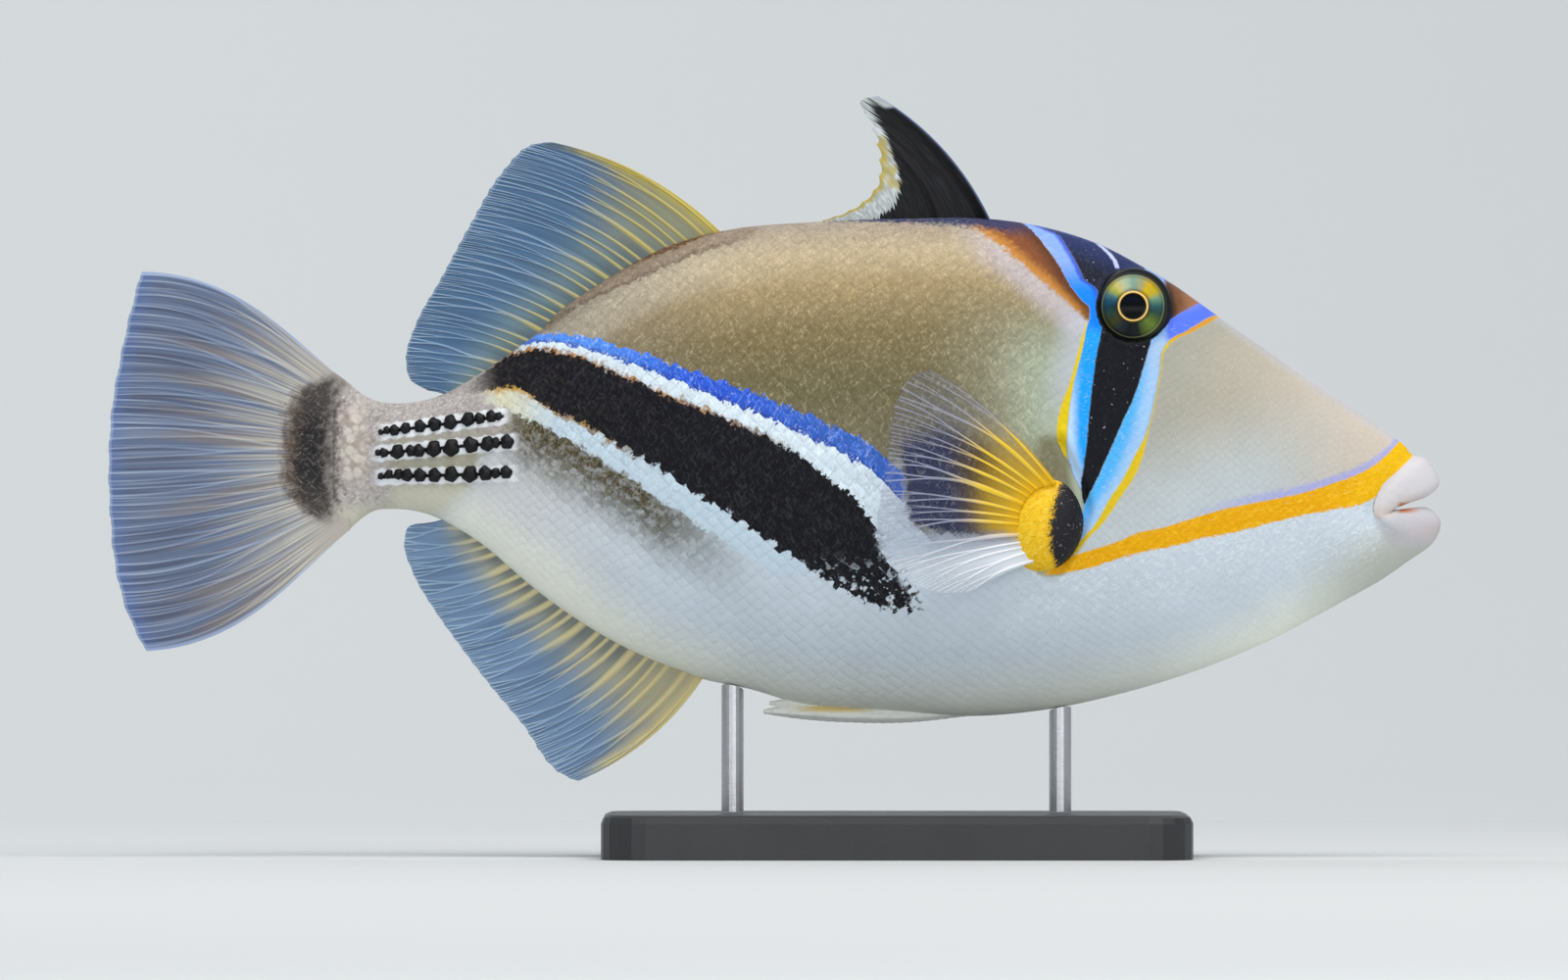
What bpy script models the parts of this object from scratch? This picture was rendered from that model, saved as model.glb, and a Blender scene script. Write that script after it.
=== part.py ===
# Picasso triggerfish, life size, swimming level on a plain display stand.
# The snout points to +X and the fish's left side to +Y. The origin is on the floor,
# below the middle of the fish's length. Blender's unit is the metre; every size
# below is in millimetres until a mesh is made.

import math

import bmesh
import bpy
import numpy as np
from mathutils import Matrix, Vector

# Driving dimensions
TOTAL_LENGTH = 240.0
MOUTH_HEIGHT = 63.2  # of the mouth line above the floor
EYE_DIAMETER = 14.2  # of the ball; about seven eighths of that shows
GAP = 0.3  # between nodes that touch

# The lines of the body are drawn on a fish of this length, as (x, z): x from the
# middle of the length towards the snout, z from the level of the mouth.
DRAWN_LENGTH = 240.0
GROWTH = TOTAL_LENGTH / DRAWN_LENGTH

BACK_LINE = [
    (-79.4, 24.6), (-76.4, 22.3), (-74.4, 20.6), (-72.4, 19.5), (-67.4, 18.8), (-61.9, 19.6), (-51.2, 25.4),
    (-35.8, 37.1), (-19.6, 46.9), (-10.2, 49.6), (9.0, 51.5), (24.7, 52.1), (38.6, 52.0), (45.0, 51.2),
    (52.2, 49.6), (59.5, 47.0), (65.3, 44.0), (71.1, 40.7), (79.2, 35.0), (96.4, 23.1), (105.4, 17.1),
]
BELLY_LINE = [
    (-79.4, -6.6), (-76.4, -4.2), (-74.4, -2.4), (-72.4, -1.1), (-68.3, -0.6), (-62.8, -1.4), (-53.8, -6.2),
    (-42.2, -16.1), (-26.8, -25.9), (-12.9, -31.2), (-4.4, -33.0), (3.7, -35.4), (19.4, -36.9),
    (37.8, -37.8), (46.8, -37.0), (64.8, -33.2), (82.8, -27.1), (91.8, -23.0), (100.8, -18.1),
]
# Half the body's width, and the height at which it is widest
WIDTH_LINE = [
    (-79.4, 1.7), (-75.0, 3.1), (-68.0, 4.8), (-56.0, 6.4), (-45.0, 8.4), (-27.0, 11.8), (-10.0, 14.6),
    (9.0, 16.9), (24.0, 18.0), (40.0, 18.2), (52.0, 17.4), (64.0, 15.6), (76.0, 13.0), (87.0, 10.5), (96.4, 8.4),
]
WIDEST_LINE = [(-79.4, 9.0), (-45.0, 9.0), (-20.0, 7.5), (9.0, 5.0), (40.0, 3.0), (64.0, 2.0), (96.4, 1.0)]
# How fast a cross-section narrows above and below its widest point: 1 is an ellipse
UPPER_TAPER = [(-79.4, 0.8), (-60.0, 0.9), (-20.0, 1.05), (38.0, 1.0), (64.0, 0.86), (80.0, 0.92), (96.4, 0.95)]
LOWER_TAPER = [(-79.4, 0.8), (-60.0, 0.9), (-20.0, 1.05), (20.0, 1.15), (64.0, 1.05), (96.4, 0.95)]

# Rings of the mouth from the throat out over the lips to the snout. Each row is the
# ring's top (x, z), bottom (x, z) and side (x, z, half width).
MOUTH_RINGS = [
    (110.5, 0.3, 110.5, -0.6, 110.5, -0.4, 1.6),
    (113.5, 0.9, 113.5, -0.5, 111.2, -0.6, 3.3),
    (117.4, 1.7, 117.6, -0.2, 111.0, -1.0, 4.2),
    (119.8, 4.4, 120.0, -2.7, 110.0, -1.5, 5.0),
    (117.6, 8.4, 118.7, -6.4, 108.9, -1.6, 5.4),
    (115.0, 9.3, 115.0, -9.3, 107.6, -1.4, 4.9),
    (113.6, 11.1, 112.4, -11.3, 106.3, -1.2, 5.5),
    (110.8, 13.3, 108.6, -13.8, 103.9, -0.8, 6.2),
    (104.6, 17.6, 103.2, -16.8, 100.2, 0.2, 7.4),
]
MOUTH_BOW = 1.45  # the higher, the later a ring of the mouth turns forward from its side to its top
CREASE_RING = 5  # the fold behind the lips
BODY_FRONT = 96.4
BODY_END = -79.4

# Where the body is parted: along the gill slit, and round the scaled rear of the flank
GILL_SLIT = [(51.3, 12.0), (53.6, 7.2), (55.9, 2.6), (56.3, -1.2), (54.9, -6.0), (51.8, -10.6), (49.3, -13.4)]
HEAD_SEAM = [(40.6, 58.0), (40.6, 52.0), (45.9, 45.0), (53.3, 34.4), (53.6, 20.6)] + GILL_SLIT
HEAD_SEAM += [(46.9, -22.0), (45.9, -44.0)]
TAIL_SEAM = [(-58.6, 32.0), (-55.1, 20.3), (-46.9, 17.7), (-43.4, 10.1), (-46.9, 2.6), (-54.7, -2.5), (-60.0, -10.0)]
MOUTH_SEAM = [(106.6, -1.3), (110.0, -1.1), (112.5, -0.3), (114.5, 0.2), (124.0, 0.7)]

# Eye, nostrils and gill slit
EYE_CENTRE = (64.4, 35.8)
EYE_BULGE = 1.5  # of the head round the eye
EYE_STANDS_OUT = 2.5  # from the head's surface
EYE_THICKNESS = 10.0
EYE_TILT = 7.0  # degrees, up
NOSTRILS = [(72.6, 35.3), (73.4, 36.7)]
NOSTRIL_RADIUS = 0.5
NOSTRIL_DEPTH = 1.0
GILL_GROOVE_WIDTH = 1.3

# Fins: the root and the free edge as (x, z) lines from the front ray to the last.
# bows are how far the first and the last ray bend forward of a straight line, and
# late, above 1, moves that bend towards the free edge.
DORSAL_FIN = dict(
    root=[(-8.6, 48.4), (-19.6, 44.8), (-35.8, 35.0), (-51.2, 23.0), (-56.0, 18.9)],
    edge=[(-40.4, 65.7), (-43.9, 65.2), (-49.4, 60.0), (-54.7, 51.2), (-60.2, 41.0), (-64.6, 33.0),
          (-66.4, 26.5), (-65.6, 22.9), (-62.4, 20.9)],
    bows=(2.8, 0.3), late=1.0, rays=25, columns=2, rows=6, root_thick=2.6, edge_thick=0.5, ridge=0.28,
)
ANAL_FIN = dict(
    root=[(-12.0, -29.6), (-26.8, -24.0), (-42.2, -14.2), (-53.8, -4.2), (-57.4, -1.2)],
    edge=[(-35.6, -49.5), (-38.6, -48.1), (-45.7, -38.9), (-51.2, -32.3), (-56.6, -25.2), (-61.1, -18.9),
          (-65.2, -11.8), (-66.7, -6.6), (-65.9, -3.6), (-62.6, -2.9)],
    bows=(-2.5, -0.3), late=1.0, rays=22, columns=2, rows=6, root_thick=2.6, edge_thick=0.5, ridge=0.28,
)
CAUDAL_FIN = dict(
    root=[(-77.0, 22.0), (-77.4, 15.0), (-77.4, 3.0), (-77.0, -4.2)],
    edge=[(-114.2, 42.3), (-116.5, 33.5), (-118.0, 26.5), (-119.3, 19.0), (-120.0, 9.0), (-119.8, -1.0),
          (-118.9, -10.5), (-116.9, -18.5), (-113.4, -26.0)],
    bows=(4.3, -4.3), late=1.35, rays=12, columns=4, rows=6, root_thick=3.2, edge_thick=0.5, ridge=0.3,
)
# The first dorsal fin: three spines joined by a membrane
SPINY_FIN_ROOT = [(39.5, 50.4), (30.0, 50.2), (20.0, 49.6), (9.6, 49.0)]
SPINY_FIN_EDGE = [(18.6, 74.0), (15.7, 73.2), (17.6, 68.0), (18.8, 63.0), (18.5, 58.2), (16.0, 55.0), (12.5, 52.9), (8.6, 51.6)]
SPINY_FIN_BOWS = (2.5, 0.4)
SPINES = [(0.0, 2.4, 0.055), (0.30, 1.3, 0.05), (0.58, 0.9, 0.05)]  # place along the fin, thickness, half width
SPINY_FIN_COLUMNS = 24
SPINY_FIN_ROWS = 6

# Pectoral fin: a fleshy lobe behind the gill slit, and a fan of rays
LOBE_CENTRE = (49.2, -3.1)
LOBE_SIZE = (12.8, 17.2)  # along and up
LOBE_HEIGHT = 2.6  # out from the flank
LOBE_TILT = 11.0  # degrees, its top forward
PECTORAL_ROOT = [(50.6, 4.2), (46.8, 3.0), (44.4, 0.2), (43.7, -3.4), (44.5, -7.0), (47.0, -9.8)]
PECTORAL_EDGE = [(27.6, 24.8), (24.0, 23.2), (21.6, 18.6), (20.5, 12.9), (20.0, 7.6), (18.9, 2.0), (18.2, -3.8),
                 (20.0, -9.4), (23.6, -13.2), (28.8, -15.4), (35.0, -15.4)]
PECTORAL_BOWS = (1.9, 0.5)
PECTORAL_RAYS = 14
PECTORAL_ROWS = 5
PECTORAL_THICK = (1.3, 0.5)
PECTORAL_RIDGE = 0.22
PECTORAL_SPREAD = 0.27  # how steeply it leaves the flank
PECTORAL_CURL = 0.0026  # how it bends back along the flank, per millimetre

# Pelvic spine: a blade under the belly, and the small flap above its tip
PELVIC_BLADE = [(39.5, -36.6, 0.5, 0.5), (33.0, -37.0, 0.9, 0.9), (24.0, -37.4, 1.4, 1.2), (14.0, -37.3, 1.5, 1.3),
                (6.0, -36.9, 1.4, 1.2), (1.0, -36.8, 0.9, 0.8), (-1.9, -36.9, 0.35, 0.3)]
PELVIC_FLAP = [(8.0, -35.6, 1.2, 1.0), (3.0, -35.4, 0.9, 0.8), (-0.9, -35.4, 0.3, 0.3)]

# Rows of small forward spines on the tail stalk: (rear x, z), (front x, z), how many
SPINE_ROWS = [((-69.8, 13.4), (-49.6, 16.2), 10), ((-70.6, 9.7), (-48.0, 11.6), 9), ((-70.9, 5.4), (-48.1, 6.0), 10)]
SPINE_RADIUS = 1.15
SPINE_HEIGHT = 1.4
SPINE_LEAN = 0.7  # how far the tip leans forward

# Stand
BASE_LENGTH = 106.0
BASE_WIDTH = 66.0
BASE_THICKNESS = 8.0
BASE_CENTRE = 22.0
ROD_RADIUS = 2.0
ROD_PLACES = {"stand_rod_rear": -7.5, "stand_rod_front": 51.5}

# Mesh fineness
SEGMENTS = 36  # round the body
RING_SPACING = 4.3  # along it
RINGS_PER_MOUTH_ROW = 2


def smooth_line(points):
    """A smooth line through (t, values...) rows of rising t, as a function of t."""
    rows = np.array(points, float)
    t, values = rows[:, 0], rows[:, 1:]
    slopes = np.gradient(values, t, axis=0)

    def at(x):
        i = int(np.clip(np.searchsorted(t, x) - 1, 0, len(t) - 2))
        step = t[i + 1] - t[i]
        u = (x - t[i]) / step
        rise = values[i] * (1 + 2 * u) * (1 - u) ** 2 + values[i + 1] * u * u * (3 - 2 * u)
        lean = step * (slopes[i] * u * (1 - u) ** 2 + slopes[i + 1] * u * u * (u - 1))
        found = rise + lean
        return float(found[0]) if len(found) == 1 else found

    return at


def smooth_path(points):
    """A smooth path through the points, as a function of its share of length, 0 to 1."""
    rows = np.array(points, float)
    runs = np.linalg.norm(np.diff(rows, axis=0), axis=1)
    share = np.concatenate([[0.0], np.cumsum(runs)]) / runs.sum()
    return smooth_line(np.column_stack([share, rows]))


back, belly = smooth_line(BACK_LINE), smooth_line(BELLY_LINE)
half_width, widest = smooth_line(WIDTH_LINE), smooth_line(WIDEST_LINE)
upper_taper, lower_taper = smooth_line(UPPER_TAPER), smooth_line(LOWER_TAPER)


def eye_swell(x, z):
    """How far the head swells outwards round the eye."""
    away = math.hypot(x - EYE_CENTRE[0], z - EYE_CENTRE[1]) / EYE_DIAMETER
    return EYE_BULGE * math.exp(-2.2 * away * away)


def body_row(x):
    """A flat ring of the body at x, as a row of MOUTH_RINGS with the two tapers."""
    return [x, back(x), x, belly(x), x, widest(x), half_width(x), upper_taper(x), lower_taper(x)]


def flank(x, z):
    """The body's half width at a place on its side."""
    top, bottom, middle = back(x), belly(x), widest(x)
    share = (z - middle) / (top - middle) if z > middle else (middle - z) / (middle - bottom)
    taper = upper_taper(x) if z > middle else lower_taper(x)
    around = math.sqrt(max(0.0, 1.0 - min(1.0, share) ** 2))
    return half_width(x) * around ** taper + eye_swell(x, z)


def ring_points(row):
    """The points of one ring, from the left side over the top to the right side and back below."""
    xt, zt, xb, zb, xs, zs, side, upper, lower = row
    points = []
    for step in range(SEGMENTS):
        turn = 2 * math.pi * step / SEGMENTS
        rise, out = math.sin(turn), math.cos(turn)
        share, end_x, end_z, taper = (rise, xt, zt, upper) if rise >= 0 else (-rise, xb, zb, lower)
        x = xs + (end_x - xs) * share ** MOUTH_BOW
        z = zs + (end_z - zs) * share
        y = side * math.copysign(abs(out) ** taper, out)
        if abs(out) > 1e-6:
            y += math.copysign(eye_swell(x, z) * min(1.0, 3 * abs(out)), out)
        else:
            y = 0.0
        points.append((x, y, z))
    return points


def body_rings():
    """Every ring of the skin, from the throat over the lips and back to the end of the tail stalk."""
    taper = upper_taper(BODY_FRONT)
    keys = [list(row) + [taper, taper] for row in MOUTH_RINGS]
    keys += [body_row(BODY_FRONT), body_row(BODY_FRONT - RING_SPACING)]
    mouth = smooth_line([[i] + row for i, row in enumerate(keys)])
    steps = (len(keys) - 1) * RINGS_PER_MOUTH_ROW
    rows = [mouth(i / RINGS_PER_MOUTH_ROW) for i in range(steps)]
    start = BODY_FRONT - RING_SPACING
    count = round((start - BODY_END) / RING_SPACING)
    rows += [body_row(start + (BODY_END - start) * i / count) for i in range(count + 1)]
    return [ring_points(row) for row in rows]


def world(point):
    """A place in the fish's own millimetres as a place above the floor, in metres."""
    x, y, z = point
    return Vector((x * GROWTH, y * GROWTH, z * GROWTH + MOUTH_HEIGHT)) * 0.001


def mesh_object(name, bm):
    mesh = bpy.data.meshes.new(name)
    bmesh.ops.recalc_face_normals(bm, faces=bm.faces)
    bm.to_mesh(mesh)
    bm.free()
    obj = bpy.data.objects.new(name, mesh)
    bpy.context.scene.collection.objects.link(obj)
    return obj


def tube_of_rings(name, rings):
    """A closed skin over a row of rings, each end filled."""
    bm = bmesh.new()
    loops = [[bm.verts.new(world(p)) for p in ring] for ring in rings]
    count = len(rings[0])
    for first, second in zip(loops, loops[1:]):
        for i in range(count):
            j = (i + 1) % count
            bm.faces.new((first[i], first[j], second[j], second[i]))
    bm.faces.new(loops[0])
    bm.faces.new(list(reversed(loops[-1])))
    bmesh.ops.triangulate(bm, faces=[f for f in bm.faces if len(f.verts) > 4])
    return mesh_object(name, bm)


def grown(obj, by):
    """A copy of a closed object, its surface moved outwards by some millimetres."""
    bm = bmesh.new()
    bm.from_mesh(obj.data)
    bm.normal_update()
    shifts = [(v, v.normal * by * 0.001) for v in bm.verts]
    for v, shift in shifts:
        v.co += shift
    return mesh_object(obj.name + "_grown", bm)


def sheet_solid(name, faces_of):
    """A thin closed sheet. faces_of(i, j) gives its two faces' points at a grid place; the
    two faces are split into triangles alike."""
    columns, rows, place = faces_of
    bm = bmesh.new()
    grid = [[[bm.verts.new(world(p)) for p in place(i, j)] for j in range(rows + 1)] for i in range(columns + 1)]

    def quad(a, b, c, d):
        bm.faces.new((a, b, c))
        bm.faces.new((a, c, d))

    for i in range(columns):
        for j in range(rows):
            for side in (0, 1):
                quad(grid[i][j][side], grid[i + 1][j][side], grid[i + 1][j + 1][side], grid[i][j + 1][side])
    for i in range(columns):
        for j in (0, rows):
            quad(grid[i][j][0], grid[i + 1][j][0], grid[i + 1][j][1], grid[i][j][1])
    for j in range(rows):
        for i in (0, columns):
            quad(grid[i][j][0], grid[i][j + 1][0], grid[i][j + 1][1], grid[i][j][1])
    return mesh_object(name, bm)


def bent_ray(start, end, bow, share, late=1.0):
    """A place on a ray that bends sideways by bow, at its middle or, above 1, later."""
    start, end = np.array(start), np.array(end)
    run = end - start
    length = np.linalg.norm(run)
    aside = np.array([run[1], -run[0]]) / length
    bent = share ** late
    return start + run * share + aside * bow * 4 * bent * (1 - bent)


def ray_profile(place, columns, share):
    """How high a ray stands at a column: one ridge, which parts in two in the outer half
    where a ray has four columns."""
    spot = place % columns
    if columns == 2:
        return 1.0 if spot == 1 else 0.0
    inner = (0.0, 0.35, 1.0, 0.35)[spot]
    outer = (0.0, 1.0, 0.35, 1.0)[spot]
    mix = min(1.0, max(0.0, (share - 0.35) / 0.25))
    return inner * (1 - mix) + outer * mix


def median_fin(name, fin):
    """A fin in the middle plane, its rays raised as ridges on both faces."""
    root, edge = smooth_path(fin["root"]), smooth_path(fin["edge"])
    columns, rows = fin["rays"] * fin["columns"], fin["rows"]

    def place(i, j):
        u, v = i / columns, j / rows
        bow = fin["bows"][0] * (1 - u) + fin["bows"][1] * u
        x, z = bent_ray(root(u), edge(u), bow, v, fin["late"])
        thick = fin["root_thick"] * (1 - v) ** 1.4 + fin["edge_thick"] * (1 - (1 - v) ** 1.4)
        ridge = fin["ridge"] * ray_profile(i, fin["columns"], v) * min(1.0, 3 * v, 4 * (1.0 - v) + 0.4)
        half = thick / 2 + ridge
        return (x, half, z), (x, -half, z)

    return sheet_solid(name, (columns, rows, place))


def spiny_fin(name):
    root, edge = smooth_path(SPINY_FIN_ROOT), smooth_path(SPINY_FIN_EDGE)

    def place(i, j):
        u, v = (i / SPINY_FIN_COLUMNS) ** 1.15, j / SPINY_FIN_ROWS
        bow = SPINY_FIN_BOWS[0] * (1 - u) + SPINY_FIN_BOWS[1] * u
        x, z = bent_ray(root(u), edge(u), bow, v)
        spine = max(t * math.exp(-(((u - at) / wide) ** 2)) for at, t, wide in SPINES)
        half = 0.35 + 0.5 * spine * (1 - 0.75 * v)
        return (x, half, z), (x, -half, z)

    return sheet_solid(name, (SPINY_FIN_COLUMNS, SPINY_FIN_ROWS, place))


def pectoral_sheet(name, side):
    root, edge = smooth_path(PECTORAL_ROOT), smooth_path(PECTORAL_EDGE)
    columns = PECTORAL_RAYS * 2

    def middle(u, v):
        bow = PECTORAL_BOWS[0] * (1 - u) + PECTORAL_BOWS[1] * u
        start = root(u)
        x, z = bent_ray(start, edge(u), bow, v)
        away = math.hypot(x - start[0], z - start[1])
        out = flank(*start) + 0.9 + PECTORAL_SPREAD * away - PECTORAL_CURL * away * away
        return Vector((x, side * out, z))

    def place(i, j):
        u, v = i / columns, j / PECTORAL_ROWS
        centre, nudge = middle(u, v), 0.01
        across = middle(min(1.0, u + nudge), v) - middle(max(0.0, u - nudge), v)
        along = middle(u, min(1.0, v + nudge)) - middle(u, max(0.0, v - nudge))
        normal = across.cross(along).normalized()
        thick = PECTORAL_THICK[0] * (1 - v) + PECTORAL_THICK[1] * v
        half = thick / 2 + PECTORAL_RIDGE * ray_profile(i, 2, v) * (1 - 0.5 * v)
        return centre + normal * half, centre - normal * half

    return sheet_solid(name, (columns, PECTORAL_ROWS, place))


def ellipsoid(name, centre, size, turn, segments, rings):
    """A closed ellipsoid; size is its three diameters before it is turned."""
    bm = bmesh.new()
    bmesh.ops.create_uvsphere(bm, u_segments=segments, v_segments=rings, radius=0.5)
    spread = Matrix.Diagonal((*[0.001 * GROWTH * s for s in size], 1.0))
    bm.transform(Matrix.Translation(world(centre)) @ turn @ spread)
    return mesh_object(name, bm)


def eye(name, side, extra=0.0):
    """An eyeball, flattened where it looks out."""
    x, z = EYE_CENTRE
    y = side * (flank(x, z) + EYE_STANDS_OUT - EYE_THICKNESS / 2)
    turn = Matrix.Rotation(math.radians(90 - side * -EYE_TILT), 4, "X")
    size = (EYE_DIAMETER + extra, EYE_DIAMETER + extra, EYE_THICKNESS + extra)
    return ellipsoid(name, (x, y, z), size, turn, 18, 10)


def prism(name, outline, half_depth):
    """A closed prism over an (x, z) outline, as deep on each side of the middle plane."""
    bm = bmesh.new()
    near = [bm.verts.new(world((x, -half_depth, z))) for x, z in outline]
    face = bm.faces.new(near)
    far = bmesh.ops.extrude_face_region(bm, geom=[face])["geom"]
    shift = Vector((0.0, 2 * half_depth * 0.001 * GROWTH, 0.0))
    bmesh.ops.translate(bm, verts=[v for v in far if isinstance(v, bmesh.types.BMVert)], vec=shift)
    return mesh_object(name, bm)


def seam(name, points, steps):
    """A thin upright cut along a smooth (x, z) line, right through the body."""
    path = smooth_path(points)
    left, right = [], []
    for i in range(steps + 1):
        u, nudge = i / steps, 0.004
        here = path(u)
        run = path(min(1.0, u + nudge)) - path(max(0.0, u - nudge))
        aside = np.array([run[1], -run[0]]) / np.linalg.norm(run) * GAP / 2
        left.append(here + aside)
        right.append(here - aside)
    return prism(name, left + right[::-1], 30.0)


def crease_line():
    """The fold behind the lips, from above the snout round the corner of the mouth to below the chin."""
    xt, zt, xb, zb, xs, zs, _ = MOUTH_RINGS[CREASE_RING]
    shares = (1.0, 0.8, 0.6, 0.4, 0.2)
    upper = [(xs + (xt - xs) * s ** MOUTH_BOW, zs + (zt - zs) * s) for s in shares]
    lower = [(xs + (xb - xs) * s ** MOUTH_BOW, zs + (zb - zs) * s) for s in reversed(shares)]
    return [(xt + 3.0, zt + 3.5)] + upper + [(xs, zs)] + lower + [(xb + 3.0, zb - 3.5)]


def round_tube(name, points, radius, sides, aside):
    """A closed round tube along a row of points. aside is a direction that the row never takes."""
    rings = []
    for i, here in enumerate(points):
        run = points[min(i + 1, len(points) - 1)] - points[max(i - 1, 0)]
        across = run.cross(aside).normalized() * radius
        over = across.cross(run).normalized() * radius
        turns = [2 * math.pi * k / sides for k in range(sides)]
        rings.append([here + across * math.cos(a) + over * math.sin(a) for a in turns])
    return tube_of_rings(name, rings)


def gill_groove(name, side):
    path = smooth_path(GILL_SLIT)
    points = []
    for i in range(15):
        x, z = path(i / 14)
        points.append(Vector((x, side * flank(x, z), z)))
    return round_tube(name, points, GILL_GROOVE_WIDTH / 2, 8, Vector((0, 1, 0)))


def nostril(name, side, spot):
    x, z = spot
    outside = Vector((x, side * (flank(x, z) + 1.0), z))
    inside = Vector((x, side * (flank(x, z) - NOSTRIL_DEPTH), z))
    return round_tube(name, [inside, outside], NOSTRIL_RADIUS, 8, Vector((0, 0, 1)))


def thorn(name, side, x, z, size):
    """One small spine of the tail stalk: five-sided, its tip leaning towards the head."""
    out = flank(x, z)
    foot, waist, sides = -0.6, 0.45 * SPINE_HEIGHT * size, 5
    bm = bmesh.new()
    rings = []
    for height, radius, lean in ((foot, 1.0, 0.0), (waist, 0.78, 0.3)):
        turns = [2 * math.pi * k / sides for k in range(sides)]
        rings.append([
            bm.verts.new(world((
                x + SPINE_RADIUS * size * radius * math.cos(a) + SPINE_LEAN * lean,
                side * (out + height),
                z + SPINE_RADIUS * size * radius * math.sin(a),
            )))
            for a in turns
        ])
    tip = bm.verts.new(world((x + SPINE_LEAN, side * (out + SPINE_HEIGHT * size), z)))
    for k in range(sides):
        n = (k + 1) % sides
        bm.faces.new((rings[0][k], rings[0][n], rings[1][n], rings[1][k]))
        bm.faces.new((rings[1][k], rings[1][n], tip))
    bm.faces.new(rings[0])
    return mesh_object(name, bm)


def thorns():
    """The three rows of spines on each side, smallest at their ends."""
    made = []
    for side in (-1, 1):
        for row, (rear, front, count) in enumerate(SPINE_ROWS):
            for i in range(count):
                share = i / (count - 1)
                x = rear[0] + (front[0] - rear[0]) * share
                z = rear[1] + (front[1] - rear[1]) * share
                size = 0.75 + 0.35 * math.sin(math.pi * share)
                made.append(thorn(f"thorn_{side}_{row}_{i}", side, x, z, size))
    return made


def combine(obj, others, operation, solver="EXACT"):
    """Joins others to obj or cuts them from it, and removes them."""
    group = bpy.data.collections.new("others")
    bpy.context.scene.collection.children.link(group)
    for other in others:
        group.objects.link(other)
    modifier = obj.modifiers.new("combine", "BOOLEAN")
    modifier.operation, modifier.solver = operation, solver
    modifier.operand_type, modifier.collection = "COLLECTION", group
    graph = bpy.context.evaluated_depsgraph_get()
    made = bpy.data.meshes.new_from_object(obj.evaluated_get(graph))
    obj.modifiers.clear()
    obj.data = made
    for other in others:
        bpy.data.objects.remove(other)
    bpy.data.collections.remove(group)
    return obj


def islands(bm):
    """The separate closed surfaces of a mesh, each a list of faces."""
    left, found = set(bm.faces), []
    while left:
        queue, island = [left.pop()], []
        while queue:
            face = queue.pop()
            island.append(face)
            for edge in face.edges:
                for other in edge.link_faces:
                    if other in left:
                        left.remove(other)
                        queue.append(other)
        found.append(island)
    return found


def volume(faces):
    """Six times the volume that a closed surface holds."""
    total = 0.0
    for face in faces:
        points = [v.co for v in face.verts]
        for b, c in zip(points[1:], points[2:]):
            total += points[0].dot(b.cross(c))
    return total


def keep_largest(obj):
    """Drops every closed surface of the object but the largest."""
    bm = bmesh.new()
    bm.from_mesh(obj.data)
    found = sorted(islands(bm), key=volume)
    loose = {face for island in found[:-1] for face in island}
    bmesh.ops.delete(bm, geom=list(loose), context="FACES")
    bm.to_mesh(obj.data)
    bm.free()
    return obj


def part_into(obj, names):
    """Gives each of the largest closed surfaces of an object its own node. names maps a
    node to the (x, z) place, in the fish's millimetres, that its middle is nearest to."""
    spots = {name: world((x, 0.0, z)) for name, (x, z) in names.items()}
    source = bmesh.new()
    source.from_mesh(obj.data)
    pieces = sorted(islands(source), key=volume)[-len(names):]
    made = {}
    for piece in pieces:
        verts = {v for face in piece for v in face.verts}
        middle = sum((v.co for v in verts), Vector()) / len(verts)
        name = min(spots, key=lambda n: (spots[n] - middle).length)
        spots.pop(name)
        bm = bmesh.new()
        copies = {v: bm.verts.new(v.co) for v in verts}
        for face in piece:
            bm.faces.new([copies[v] for v in face.verts])
        made[name] = mesh_object(name, bm)
    source.free()
    bpy.data.objects.remove(obj)
    return made


def finish_with(obj, name, colour, roughness, metallic=0.0, angle=35.0):
    """Gives a node its material and smooth shading."""
    material = bpy.data.materials.new(name)
    material.use_nodes = True
    shader = material.node_tree.nodes["Principled BSDF"]
    shader.inputs["Base Color"].default_value = (*colour, 1.0)
    shader.inputs["Roughness"].default_value = roughness
    shader.inputs["Metallic"].default_value = metallic
    obj.data.materials.clear()
    obj.data.materials.append(material)
    obj.data.shade_smooth()
    obj.data.set_sharp_from_angle(angle=math.radians(angle))
    return obj


def make_body():
    """The head, lips, torso and tail stalk, and the swollen copy that fins and rods are cut by."""
    body = tube_of_rings("body", body_rings())
    swollen = grown(body, GAP)
    cutters = [
        seam("head_seam", HEAD_SEAM, 28),
        seam("tail_seam", TAIL_SEAM, 20),
        seam("mouth_seam", MOUTH_SEAM, 8),
        seam("lip_seam", crease_line(), 24),
    ]
    for side in (-1, 1):
        cutters.append(eye(f"socket_{side}", side, 2 * GAP))
        cutters.append(gill_groove(f"groove_{side}", side))
        cutters += [nostril(f"nostril_{side}_{i}", side, spot) for i, spot in enumerate(NOSTRILS)]
    combine(body, cutters, "DIFFERENCE")
    parts = part_into(body, {
        "head": (75.0, 5.0), "torso": (0.0, 5.0), "tail_stalk": (-62.0, 9.0),
        "upper_lip": (115.0, 5.0), "lower_lip": (115.0, -4.0),
    })
    combine(parts["tail_stalk"], thorns(), "UNION")
    keep_largest(parts["tail_stalk"])
    finish_with(parts["head"], "head_skin", (0.52, 0.47, 0.38), 0.45)
    finish_with(parts["torso"], "torso_skin", (0.42, 0.33, 0.2), 0.45)
    finish_with(parts["tail_stalk"], "stalk_skin", (0.5, 0.46, 0.42), 0.5)
    finish_with(parts["upper_lip"], "upper_lip_skin", (0.85, 0.82, 0.82), 0.35)
    finish_with(parts["lower_lip"], "lower_lip_skin", (0.8, 0.79, 0.8), 0.35)
    return swollen


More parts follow.
